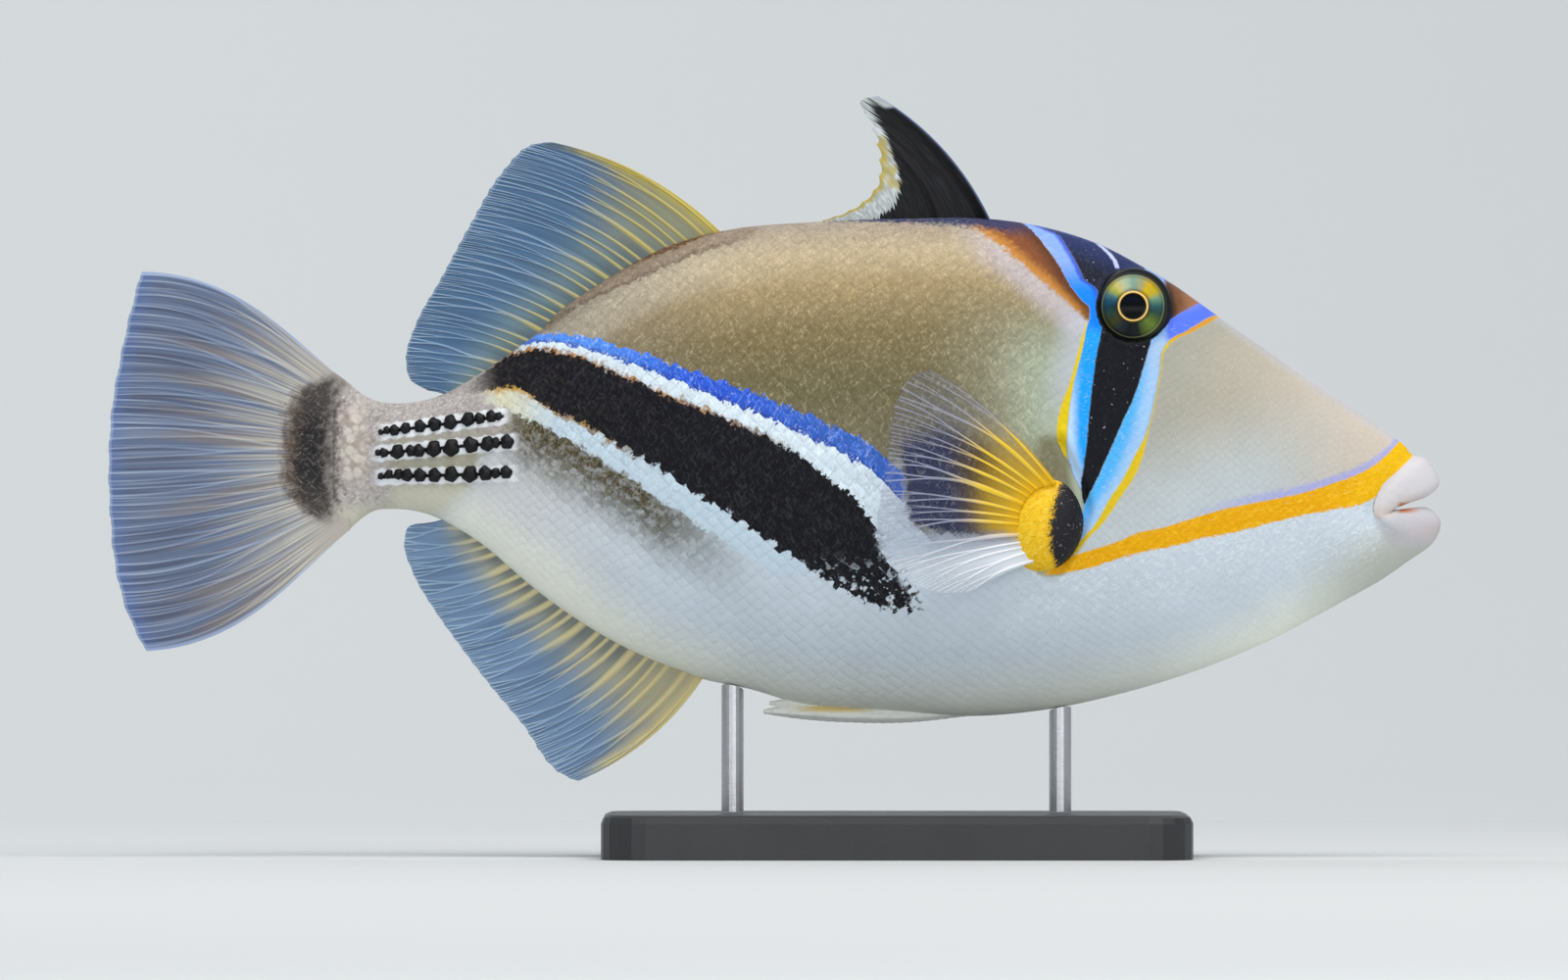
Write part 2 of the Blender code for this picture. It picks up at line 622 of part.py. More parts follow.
def cut_clear(obj, swollen):
    """Cuts a fin or rod off where it meets the body, with the gap between them."""
    copy = swollen.copy()
    copy.data = swollen.data.copy()
    combine(obj, [copy], "DIFFERENCE")
    return keep_largest(obj)


def make_median_fins(swollen):
    clear = (0.55, 0.62, 0.7)
    finish_with(cut_clear(median_fin("soft_dorsal_fin", DORSAL_FIN), swollen), "soft_dorsal_membrane", clear, 0.35)
    finish_with(cut_clear(median_fin("anal_fin", ANAL_FIN), swollen), "anal_membrane", clear, 0.35)
    finish_with(cut_clear(median_fin("caudal_fin", CAUDAL_FIN), swollen), "caudal_membrane", clear, 0.35)
    finish_with(cut_clear(spiny_fin("spiny_dorsal_fin"), swollen), "spiny_membrane", (0.02, 0.02, 0.025), 0.5)


def make_pectoral_fins(swollen):
    for label, side in (("right", -1), ("left", 1)):
        x, z = LOBE_CENTRE
        size = (LOBE_SIZE[0], 2 * (LOBE_HEIGHT + 1.4), LOBE_SIZE[1])
        turn = Matrix.Rotation(math.radians(LOBE_TILT), 4, "Y")
        place = (x, side * (flank(x, z) - 1.4), z)
        lobe = ellipsoid("pectoral_fin_" + label, place, size, turn, 20, 12)
        combine(lobe, [pectoral_sheet("rays_" + label, side)], "UNION")
        cut_clear(keep_largest(lobe), swollen)
        finish_with(lobe, "pectoral_membrane_" + label, (0.75, 0.6, 0.2), 0.4)


def pelvic_bar(name, rows):
    """A tapering bar of oval sections, each row its middle (x, z), half height and half width."""
    path = smooth_path(rows)
    rings = []
    for i in range(2 * len(rows)):
        x, z, high, wide = path(i / (2 * len(rows) - 1))
        turns = [2 * math.pi * k / 10 for k in range(10)]
        rings.append([(x, wide * math.cos(a), z + high * math.sin(a)) for a in turns])
    return tube_of_rings(name, rings)


def make_pelvic_spine(swollen):
    blade = pelvic_bar("pelvic_spine", PELVIC_BLADE)
    combine(blade, [pelvic_bar("flap", PELVIC_FLAP)], "UNION")
    cut_clear(keep_largest(blade), swollen)
    finish_with(blade, "pelvic_skin", (0.8, 0.78, 0.68), 0.4)


def make_eyes():
    for label, side in (("right", -1), ("left", 1)):
        finish_with(eye("eye_" + label, side), "eye_" + label, (0.3, 0.35, 0.12), 0.1)


def make_stand(swollen):
    bm = bmesh.new()
    bmesh.ops.create_cube(bm, size=1.0)
    bmesh.ops.scale(bm, vec=Vector((BASE_LENGTH, BASE_WIDTH, BASE_THICKNESS)) * 0.001, verts=bm.verts)
    bmesh.ops.translate(bm, vec=Vector((BASE_CENTRE, 0.0, BASE_THICKNESS / 2)) * 0.001, verts=bm.verts)
    upright = [e for e in bm.edges if abs(e.verts[0].co.z - e.verts[1].co.z) > 0.001]
    bmesh.ops.bevel(bm, geom=upright, offset=0.008, segments=5, profile=0.5, affect="EDGES")
    rim = [e for e in bm.edges if min(v.co.z for v in e.verts) > (BASE_THICKNESS - 0.1) * 0.001]
    bmesh.ops.bevel(bm, geom=rim, offset=0.0015, segments=2, profile=0.5, affect="EDGES")
    finish_with(mesh_object("stand_base", bm), "base_paint", (0.03, 0.03, 0.032), 0.35)
    for name, x in ROD_PLACES.items():
        foot = BASE_THICKNESS + GAP - MOUTH_HEIGHT
        ends = [Vector((x, 0, foot)), Vector((x, 0, belly(x) + 6.0))]
        rod = round_tube(name, ends, ROD_RADIUS, 20, Vector((0, 1, 0)))
        cut_clear(rod, swollen)
        finish_with(rod, name + "_steel", (0.6, 0.6, 0.6), 0.3, 1.0)


def main():
    for obj in list(bpy.data.objects):
        bpy.data.objects.remove(obj)
    swollen = make_body()
    make_eyes()
    make_median_fins(swollen)
    make_pectoral_fins(swollen)
    make_pelvic_spine(swollen)
    make_stand(swollen)
    bpy.data.objects.remove(swollen)


main()
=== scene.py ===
# Picasso triggerfish, a life-size museum model: skin, scales, fins, eyes and studio.
# The snout points to +X and the camera looks at its right side.
import math

import bpy
import numpy as np
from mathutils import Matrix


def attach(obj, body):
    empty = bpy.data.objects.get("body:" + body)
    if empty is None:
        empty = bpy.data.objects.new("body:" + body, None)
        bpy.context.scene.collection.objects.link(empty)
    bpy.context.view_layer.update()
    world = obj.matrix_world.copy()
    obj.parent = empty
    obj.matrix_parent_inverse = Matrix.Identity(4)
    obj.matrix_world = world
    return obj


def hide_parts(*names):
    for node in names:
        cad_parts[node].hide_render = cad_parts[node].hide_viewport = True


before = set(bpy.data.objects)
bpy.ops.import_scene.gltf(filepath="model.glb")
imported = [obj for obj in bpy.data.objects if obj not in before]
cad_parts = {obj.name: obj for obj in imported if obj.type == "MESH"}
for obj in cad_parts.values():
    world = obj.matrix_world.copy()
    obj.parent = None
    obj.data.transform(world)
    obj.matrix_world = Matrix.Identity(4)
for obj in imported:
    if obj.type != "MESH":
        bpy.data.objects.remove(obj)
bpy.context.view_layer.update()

# the picture's pixels are dots here: markings are drawn in them, as seen from the side
picture = {
    "wide": 1600,
    "high": 1000,
    "dot": 0.17647,  # millimetres on the fish
    "middleColumn": 790.0,  # the column of the middle of the fish's length
    "mouthRow": 517.0,  # the row of the mouth line
    "mouthHeight": 63.2,  # of the mouth line above the floor, in millimetres
}
floorRow = picture["mouthRow"] + picture["mouthHeight"] / picture["dot"]


def toMetres(points):
    # from the fish's own millimetres to a place above the floor
    points = np.asarray(points, float)
    return (points + np.array([0.0, 0.0, picture["mouthHeight"]])) * 0.001


def fromDots(points):
    # from dots to the fish's millimetres, as (x, z)
    points = np.asarray(points, float)
    across = (points[:, 0] - picture["middleColumn"]) * picture["dot"]
    up = (picture["mouthRow"] - points[:, 1]) * picture["dot"]
    return np.column_stack([across, up])


def smoothLine(points):
    # a smooth line through rows of (t, values...) with rising t, as a function of t
    rows = np.array(points, float)
    t, values = rows[:, 0], rows[:, 1:]
    slopes = np.gradient(values, t, axis=0)

    def at(x):
        x = np.asarray(x, float)
        i = np.clip(np.searchsorted(t, x) - 1, 0, len(t) - 2)
        step = (t[i + 1] - t[i])[..., None]
        u = (x - t[i])[..., None] / step
        rise = values[i] * (1 + 2 * u) * (1 - u) ** 2 + values[i + 1] * u * u * (3 - 2 * u)
        lean = step * (slopes[i] * u * (1 - u) ** 2 + slopes[i + 1] * u * u * (u - 1))
        found = rise + lean
        return found[..., 0] if found.shape[-1] == 1 else found

    return at


def smoothPath(points):
    # a smooth path through the points, as a function of its share of length
    rows = np.array(points, float)
    runs = np.linalg.norm(np.diff(rows, axis=0), axis=1)
    share = np.concatenate([[0.0], np.cumsum(runs)]) / runs.sum()
    return smoothLine(np.column_stack([share, rows]))


def smoothStep(value, low, high):
    share = np.clip((value - low) / (high - low), 0.0, 1.0)
    return share * share * (3 - 2 * share)


def hump(value, middle, width):
    return np.exp(-(((value - middle) / width) ** 2))


def awayFrom(line, x, z):
    # distance of places (x, z) from a line of points
    line = np.asarray(line, float)
    best = np.full(np.shape(x), 1e9)
    for (x0, z0), (x1, z1) in zip(line[:-1], line[1:]):
        runX, runZ = x1 - x0, z1 - z0
        share = np.clip(((x - x0) * runX + (z - z0) * runZ) / (runX ** 2 + runZ ** 2), 0, 1)
        best = np.minimum(best, np.hypot(x - x0 - share * runX, z - z0 - share * runZ))
    return best


def makePiece(name, points, faces, material, slot, nodes=()):
    # a mesh from millimetre points, its faces turned outwards
    points = toMetres(points)
    faces = np.asarray(faces)
    corners = points[faces] - points.mean(axis=0)
    volume = 0.0
    for i in range(1, faces.shape[1] - 1):
        volume += np.sum(corners[:, 0] * np.cross(corners[:, i], corners[:, i + 1]))
    if volume < 0:
        faces = faces[:, ::-1]
    mesh = bpy.data.meshes.new(name)
    mesh.from_pydata(points.tolist(), [], faces.tolist())
    mesh.shade_smooth()
    piece = bpy.data.objects.new(name, mesh)
    bpy.context.scene.collection.objects.link(piece)
    finishPiece(piece, material, slot, nodes)
    return piece


def closeRings(rings, ends=None):
    # points and faces of a tube through the rings, each end closed by a fan round a middle point
    index = np.arange(rings.shape[0] * rings.shape[1]).reshape(rings.shape[:2])
    following = np.roll(index, -1, axis=1)
    faces = np.stack([index[:-1], following[:-1], following[1:], index[1:]], axis=-1).reshape(-1, 4).tolist()
    points = np.vstack([rings.reshape(-1, 3), rings[[0, -1]].mean(axis=1) if ends is None else ends])
    for ring, middle, order in ((index[0], len(points) - 2, -1), (index[-1], len(points) - 1, 1)):
        for fan in zip(ring[::2], ring[1::2], np.roll(ring, -2)[::2]):
            faces.append([middle, *fan[::order]])
    return points, faces


def finishPiece(piece, material, slot, nodes=()):
    if material:
        piece.data.materials.clear()
        piece.data.materials.append(material)
    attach(piece, "root")
    if nodes:
        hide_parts(*nodes)


def writeAttribute(piece, name, kind, values):
    values = np.asarray(values, np.float32)
    field = "vector" if kind == "FLOAT_VECTOR" else "value"
    piece.data.attributes.new(name, kind, "POINT").data.foreach_set(field, values.ravel())


# camera and studio

studio = {
    "distance": 4.0,
    "sensor": 36.0,
    "floorHalf": 3.0,
    "wallAt": 1.15,
    "wallHalf": 0.5,  # narrow, so that it hides the fish from few sides
    "wallHigh": 2.4,
    "sweep": 0.7,  # radius between floor and wall
    "sweepSteps": 12,
    "lamps": [  # name, place, the place it points to, size, power and tint
        ("overhead", (0.1, -0.45, 1.25), (0.0, 0.0, 0.08), (1.3, 0.8), 11.5, (1.0, 0.985, 0.96)),
        ("front", (0.95, -1.2, 1.05), (0.0, 0.0, 0.06), (0.6, 0.6), 4.6, (1.0, 0.99, 0.97)),
        ("rear", (-0.6, 0.8, 0.9), (0.0, 0.0, 0.06), (0.9, 0.9), 3.6, (0.93, 0.97, 1.0)),
        ("low", (0.1, -1.3, 0.1), (0.0, 0.0, 0.05), (1.3, 0.2), 2.6, (0.95, 0.98, 1.0)),
    ],
    "airTint": (0.92, 0.95, 1.0, 1.0),
    "airPower": 0.4,
}


def makeCamera():
    frameWidth = picture["wide"] * picture["dot"] * 0.001
    data = bpy.data.cameras.new("camera")
    data.sensor_width = studio["sensor"]
    data.lens = studio["sensor"] * studio["distance"] / frameWidth
    data.clip_start, data.clip_end = 0.05, 20.0
    camera = bpy.data.objects.new("camera", data)
    across = (picture["wide"] / 2 - picture["middleColumn"]) * picture["dot"] * 0.001
    up = (floorRow - picture["high"] / 2) * picture["dot"] * 0.001
    camera.location = (across, -studio["distance"], up)
    camera.rotation_euler = (math.radians(90), 0, 0)
    bpy.context.scene.collection.objects.link(camera)
    bpy.context.scene.camera = camera


def makeLamp(name, place, aim, size, power, hue):
    data = bpy.data.lights.new(name, "AREA")
    data.shape = "RECTANGLE"
    data.size, data.size_y = size
    data.energy = power
    data.color = hue
    lamp = bpy.data.objects.new(name, data)
    lamp.location = place
    away = np.array(place) - np.array(aim)
    flat = math.hypot(away[0], away[1])
    lamp.rotation_euler = (math.atan2(flat, away[2]), 0, math.atan2(away[0], -away[1]))
    bpy.context.scene.collection.objects.link(lamp)


def makeStudio(material):
    half, wall, high, sweep = (studio[k] for k in ("floorHalf", "wallAt", "wallHigh", "sweep"))
    points = [(side * half, y, 0.0) for y in (-half, wall - sweep) for side in (-1, 1)]
    faces = [(0, 1, 3, 2)]
    profile = [(wall - sweep, 0.0)]
    for step in range(1, studio["sweepSteps"] + 1):
        turn = math.pi / 2 * step / studio["sweepSteps"]
        profile.append((wall - sweep + sweep * math.sin(turn), sweep - sweep * math.cos(turn)))
    profile.append((wall, high))
    points += [(side * studio["wallHalf"], y, z) for side in (-1, 1) for y, z in profile]
    count = len(profile)
    faces += [(4 + i, 4 + count + i, 5 + count + i, 5 + i) for i in range(count - 1)]
    mesh = bpy.data.meshes.new("backdrop")
    mesh.from_pydata(points, [], faces)
    mesh.shade_smooth()
    mesh.materials.append(material)
    backdrop = bpy.data.objects.new("backdrop", mesh)
    bpy.context.scene.collection.objects.link(backdrop)
    for lamp in studio["lamps"]:
        makeLamp(*lamp)
    world = bpy.data.worlds.new("studioAir")
    world.use_nodes = True
    air = world.node_tree.nodes["Background"]
    air.inputs["Color"].default_value = studio["airTint"]
    air.inputs["Strength"].default_value = studio["airPower"]
    bpy.context.scene.world = world
    bpy.context.scene.view_settings.view_transform = "Standard"


# shader wiring

def tint(code):
    # a paint by its six-digit code, as linear light
    shares = [int(code[i:i + 2], 16) / 255 for i in (0, 2, 4)]
    return tuple(s / 12.92 if s <= 0.04045 else ((s + 0.055) / 1.055) ** 2.4 for s in shares) + (1.0,)


class Wire:
    # one value, colour, vector or shape that runs through the nodes of a tree
    def __init__(self, tree, socket=None):
        self.tree, self.socket = tree, socket

    def node(self, kind, settings=None, values=None, output=0):
        made = self.tree.nodes.new(kind)
        for name, setting in (settings or {}).items():
            if name == "stops":
                ramp = made.color_ramp
                while len(ramp.elements) < len(setting):
                    ramp.elements.new(1.0)
                for element, (place, code) in zip(ramp.elements, setting):
                    element.position, element.color = place, tint(code)
            elif name == "curve":
                line = made.mapping.curves[0]
                while len(line.points) < len(setting):
                    line.points.new(0.5, 0.5)
                for point, place in zip(line.points, setting):
                    point.location = place
                made.mapping.update()
            else:
                setattr(made, name, setting)
        for name, value in (values or {}).items():
            socket = made.inputs[name]
            if isinstance(value, Wire):
                self.tree.links.new(value.socket, socket)
            else:
                socket.default_value = value
        return Wire(self.tree, made.outputs[output])

    def paint(self, code):
        made = self.tree.nodes.new("ShaderNodeRGB")
        made.outputs[0].default_value = tint(code)
        return Wire(self.tree, made.outputs[0])

    def math(self, operation, *others):
        return self.node("ShaderNodeMath", {"operation": operation}, dict(enumerate((self,) + others)))

    def __add__(self, other):
        return self.math("ADD", other)

    def __sub__(self, other):
        return self.math("SUBTRACT", other)

    def __rsub__(self, other):
        return self.node("ShaderNodeMath", {"operation": "SUBTRACT"}, {0: other, 1: self})

    def __mul__(self, other):
        return self.math("MULTIPLY", other)

    def __truediv__(self, other):
        return self.math("DIVIDE", other)

    __radd__, __rmul__ = __add__, __mul__

    def rise(self, low, high):
        # 0 below low, 1 above high, smooth between
        return self.node("ShaderNodeMapRange", {"interpolation_type": "SMOOTHSTEP"},
                         {"Value": self, "From Min": low, "From Max": high})

    def fall(self, low, high):
        return self.node("ShaderNodeMapRange", {"interpolation_type": "SMOOTHSTEP"},
                         {"Value": self, "From Min": low, "From Max": high, "To Min": 1.0, "To Max": 0.0})

    def within(self, low, high, soft=1.2):
        return self.rise(low - soft, low + soft) * self.fall(high - soft, high + soft)

    def size(self):
        return self.math("ABSOLUTE")

    def most(self, other):
        return self.math("MAXIMUM", other)

    def least(self, other):
        return self.math("MINIMUM", other)

    def follow(self, points):
        # the smooth line of (value, result) points, read at this value
        ends = [points[0][0], points[-1][0]]
        lows = min(p[1] for p in points)
        span = max(p[1] for p in points) - lows
        shares = [((a - ends[0]) / (ends[1] - ends[0]), (b - lows) / span) for a, b in points]
        share = self.node("ShaderNodeMapRange", None, {
            "Value": self, "From Min": ends[0], "From Max": ends[1]})
        curve = self.node("ShaderNodeFloatCurve", {"curve": shares}, {"Value": share})
        return curve * span + lows

    def mix(self, mask, paint):
        # this colour, with the paint over it where the mask is 1
        paint = tint(paint) if isinstance(paint, str) else paint
        made = self.tree.nodes.new("ShaderNodeMix")
        made.data_type = "RGBA"
        self.tree.links.new(mask.socket, made.inputs[0])
        self.tree.links.new(self.socket, made.inputs[6])
        if isinstance(paint, Wire):
            self.tree.links.new(paint.socket, made.inputs[7])
        else:
            made.inputs[7].default_value = paint
        return Wire(self.tree, made.outputs[2])

    def over(self, *layers):
        # this colour under layers of (mask, paint), the last on top
        colour = self
        for mask, paint in layers:
            colour = colour.mix(mask, paint)
        return colour

    def ramp(self, *stops):
        # the colour at this value between stops of (value, colour)
        return self.node("ShaderNodeValToRGB", {"stops": stops}, {"Fac": self}, "Color")

    def shade(self, amount):
        # this colour, lighter or darker by a factor
        return self.node("ShaderNodeVectorMath", {"operation": "SCALE"}, {"Vector": self, "Scale": amount})

    def vector(self, operation, other):
        return self.node("ShaderNodeVectorMath", {"operation": operation}, {0: self, 1: other})

    def part(self, index):
        return self.node("ShaderNodeSeparateXYZ", None, {"Vector": self}, index)

    def grain(self, size, detail=2.0, roughness=0.5, bend=0.0, output=0):
        # cloudy noise whose features are about size millimetres
        return self.node("ShaderNodeTexNoise", None, {
            "Vector": self, "Scale": 1.0 / size, "Detail": detail, "Roughness": roughness, "Distortion": bend,
        }, output)


def newPaint(name):
    # a material with its shader, and wires to read the surface by
    material = bpy.data.materials.new(name)
    material.use_nodes = True
    tree = material.node_tree
    shader = tree.nodes["Principled BSDF"]
    return material, shader, Wire(tree)


def surfacePlace(wire):
    # the place on the piece, in millimetres
    place = wire.node("ShaderNodeTexCoord", None, None, "Object")
    return place.vector("MULTIPLY", (1000.0, 1000.0, 1000.0))


def inDots(place):
    # the column and row of a place
    across = place.part(0) * (1 / picture["dot"]) + picture["middleColumn"]
    return across, floorRow - place.part(2) * (1 / picture["dot"])


def readAttribute(wire, name, output="Fac"):
    return wire.node("ShaderNodeAttribute", {"attribute_name": name}, None, output)


def connect(shader, wires):
    for name, value in wires.items():
        if isinstance(value, Wire):
            value.tree.links.new(value.socket, shader.inputs[name])
        else:
            shader.inputs[name].default_value = value


def relief(height, strength, depth):
    # a bump from a height; depth is in millimetres
    return height.node("ShaderNodeBump", None, {
        "Height": height, "Strength": strength, "Distance": depth * 0.001}, "Normal")


# the fish's body

body = {
    "backLine": [
        (-79.4, 24.6), (-76.4, 22.3), (-74.4, 20.6), (-72.4, 19.5), (-67.4, 18.8), (-61.9, 19.6),
        (-51.2, 25.4), (-35.8, 37.1), (-19.6, 46.9), (-10.2, 49.6), (9.0, 51.5), (24.7, 52.1), (38.6, 52.0),
        (45.0, 51.2), (52.2, 49.6), (59.5, 47.0), (65.3, 44.0), (71.1, 40.7), (79.2, 35.0), (96.4, 23.1),
        (105.4, 17.1)],
    "bellyLine": [
        (-79.4, -6.6), (-76.4, -4.2), (-74.4, -2.4), (-72.4, -1.1), (-68.3, -0.6), (-62.8, -1.4),
        (-53.8, -6.2), (-42.2, -16.1), (-26.8, -25.9), (-12.9, -31.2), (-4.4, -33.0), (3.7, -35.4),
        (19.4, -36.9), (37.8, -37.8), (46.8, -37.0), (64.8, -33.2), (82.8, -27.1), (91.8, -23.0),
        (100.8, -18.1)],
    "halfWidth": [
        (-79.4, 1.7), (-75.0, 3.1), (-68.0, 4.8), (-56.0, 6.4), (-45.0, 8.4), (-27.0, 11.8), (-10.0, 14.6),
        (9.0, 16.9), (24.0, 18.0), (40.0, 18.2), (52.0, 17.4), (64.0, 15.6), (76.0, 13.0), (87.0, 10.5),
        (96.4, 8.4)],
    "widestAt": [(-79.4, 9.0), (-45.0, 9.0), (-20.0, 7.5), (9.0, 5.0), (40.0, 3.0), (64.0, 2.0), (96.4, 1.0)],
    "upperTaper": [
        (-79.4, 0.8), (-60.0, 0.9), (-20.0, 1.05), (38.0, 1.0), (64.0, 0.86), (80.0, 0.92), (96.4, 0.95)],
    "lowerTaper": [(-79.4, 0.8), (-60.0, 0.9), (-20.0, 1.05), (20.0, 1.15), (64.0, 1.05), (96.4, 0.95)],
    # rings of the mouth from the throat over the lips to the snout: x and z of the top, x and z of the
    # bottom, then x, z and half width of the side
    "mouthRings": [
        (110.5, 0.3, 110.5, -0.6, 110.5, -0.4, 1.6), (113.5, 0.9, 113.5, -0.5, 111.2, -0.6, 3.3),
        (117.4, 1.7, 117.6, -0.2, 111.0, -1.0, 4.2), (119.8, 4.4, 119.95, -2.7, 110.0, -1.5, 5.0),
        (117.6, 8.4, 118.7, -6.4, 108.9, -1.6, 5.4), (115.0, 9.3, 115.0, -9.3, 107.6, -1.4, 4.9),
        (113.6, 11.1, 112.4, -11.3, 106.3, -1.2, 5.5), (110.8, 13.3, 108.6, -13.8, 103.9, -0.8, 6.2),
        (104.6, 17.6, 103.2, -16.8, 100.2, 0.2, 7.4)],
    "mouthBow": 1.45,
    "front": 96.4,
    "end": -79.4,
    "ringStep": 4.3,
    "ringGaps": (0.42, 0.62),  # round the eye, and elsewhere
    "turns": 360,  # steps over one side of a ring, to measure its length by
    "gillSlit": [
        (51.3, 12.0), (53.6, 7.2), (55.9, 2.6), (56.3, -1.2), (54.9, -6.0), (51.8, -10.6), (49.3, -13.4)],
    "nostrils": [(72.6, 35.3), (73.4, 36.7)],
    # folds of the skin: a line in dots, then height and half width in millimetres
    "folds": [
        ([(560, 323), (636, 281.5), (722.5, 246)], 0.45, 1.2),
        ([(538, 345), (560, 330), (636, 291), (713, 258), (751, 246)], -0.28, 0.55),
        ([(470, 548), (540, 600), (620, 655), (700, 690)], -0.2, 0.7),
        ([(1142, 574), (1150, 582), (1169, 603)], -0.09, 0.8),
        ([(1063, 598), (1038, 620), (1000, 647)], -0.14, 1.3),
    ],
    "coatDepth": 0.16,
    "around": 114,  # spaces from the back to the belly, on each side
    "mouthSteps": 7,  # rings for each ring of the mouth
}
eyes = {
    "centre": (64.4, 35.8),
    "diameter": 14.2,
    "thickness": 10.0,
    "standsOut": 2.5,
    "bulge": 1.5,  # of the head round the eye
    "tilt": 2.5,
    "rim": 6.2,  # radius at which the skin meets the ball
    "rimCircles": (-0.12, 0.3),  # of the skin's points next to the rim, from its radius
    "rings": 64,
}

backAt, bellyAt = smoothLine(body["backLine"]), smoothLine(body["bellyLine"])
halfWidthAt, widestAt = smoothLine(body["halfWidth"]), smoothLine(body["widestAt"])
upperTaperAt, lowerTaperAt = smoothLine(body["upperTaper"]), smoothLine(body["lowerTaper"])


def eyeSwell(x, z):
    away = np.hypot(x - eyes["centre"][0], z - eyes["centre"][1]) / eyes["diameter"]
    return eyes["bulge"] * np.exp(-2.2 * away * away)


def flankAt(x, z):
    # the body's half width at places on its side
    top, bottom, middle = backAt(x), bellyAt(x), widestAt(x)
    above = z > middle
    share = np.where(above, (z - middle) / (top - middle), (middle - z) / (middle - bottom))
    taper = np.where(above, upperTaperAt(x), lowerTaperAt(x))
    around = np.sqrt(np.maximum(0.0, 1.0 - np.minimum(1.0, share) ** 2))
    return halfWidthAt(x) * around ** taper + eyeSwell(x, z)


def bodyRow(x):
    return [x, backAt(x), x, bellyAt(x), x, widestAt(x), halfWidthAt(x), upperTaperAt(x), lowerTaperAt(x)]


def ringRows():
    # every ring of the skin as a row of sizes, from the throat back to the end of the tail stalk
    taper = float(upperTaperAt(body["front"]))
    start = body["front"] - body["ringStep"]
    keys = [list(row) + [taper, taper] for row in body["mouthRings"]]
    keys += [bodyRow(body["front"]), bodyRow(start)]
    mouth = smoothLine([[i] + [float(v) for v in row] for i, row in enumerate(keys)])
    steps = (len(keys) - 1) * body["mouthSteps"]
    rows = [mouth(i / body["mouthSteps"]) for i in range(steps)]
    x = start
    while x > body["end"]:
        rows.append(np.array(bodyRow(x), float))
        x -= body["ringGaps"][0 if 46.0 < x < 74.0 else 1]
    rows.append(np.array(bodyRow(body["end"]), float))
    return np.array(rows)


def ringSide(row, turns):
    # one side of a ring, y positive, for turns from the top to the bottom
    xt, zt, xb, zb, xs, zs, side, upper, lower = row
    rise, out = np.sin(turns), np.maximum(0.0, np.cos(turns))
    above = rise >= 0
    share = np.abs(rise)
    x = xs + (np.where(above, xt, xb) - xs) * share ** body["mouthBow"]
    z = zs + (np.where(above, zt, zb) - zs) * share
    y = side * out ** np.where(above, upper, lower)
    y = y + np.where(out > 1e-6, eyeSwell(x, z) * np.minimum(1.0, 3 * out), 0.0)
    return np.column_stack([x, y, z])


def surfaceNormals(grid):
    # outward directions over a grid of places on the fish's left side
    alongRing = np.gradient(grid, axis=1)
    alongBody = np.gradient(grid, axis=0)
    normals = np.cross(alongRing, alongBody)
    normals /= np.maximum(1e-9, np.linalg.norm(normals, axis=2, keepdims=True))
    return normals


def bodyRelief(x, z):
    # folds and swellings of the skin, in millimetres outwards
    high = np.zeros_like(x)
    fromEye = np.hypot(x - eyes["centre"][0], z - eyes["centre"][1])
    rim = eyes["rim"]
    high -= 2.6 * smoothStep(-fromEye, -rim, -rim + 0.6)
    high += 0.32 * hump(fromEye, rim + 0.55, 0.42) - 0.12 * hump(fromEye, rim + 1.7, 0.5)
    slit = awayFrom(body["gillSlit"], x, z)
    high -= 1.1 * hump(slit, 0.0, 0.55)
    high += 0.3 * hump(slit, 1.5, 0.8)
    for fold, rise, wide in body["folds"]:
        high += rise * hump(awayFrom(fromDots(fold), x, z), 0.0, wide)
    for spot in body["nostrils"]:
        away = np.hypot(x - spot[0], z - spot[1])
        high += -0.7 * hump(away, 0.0, 0.42) + 0.16 * hump(away, 0.85, 0.3)
    return high


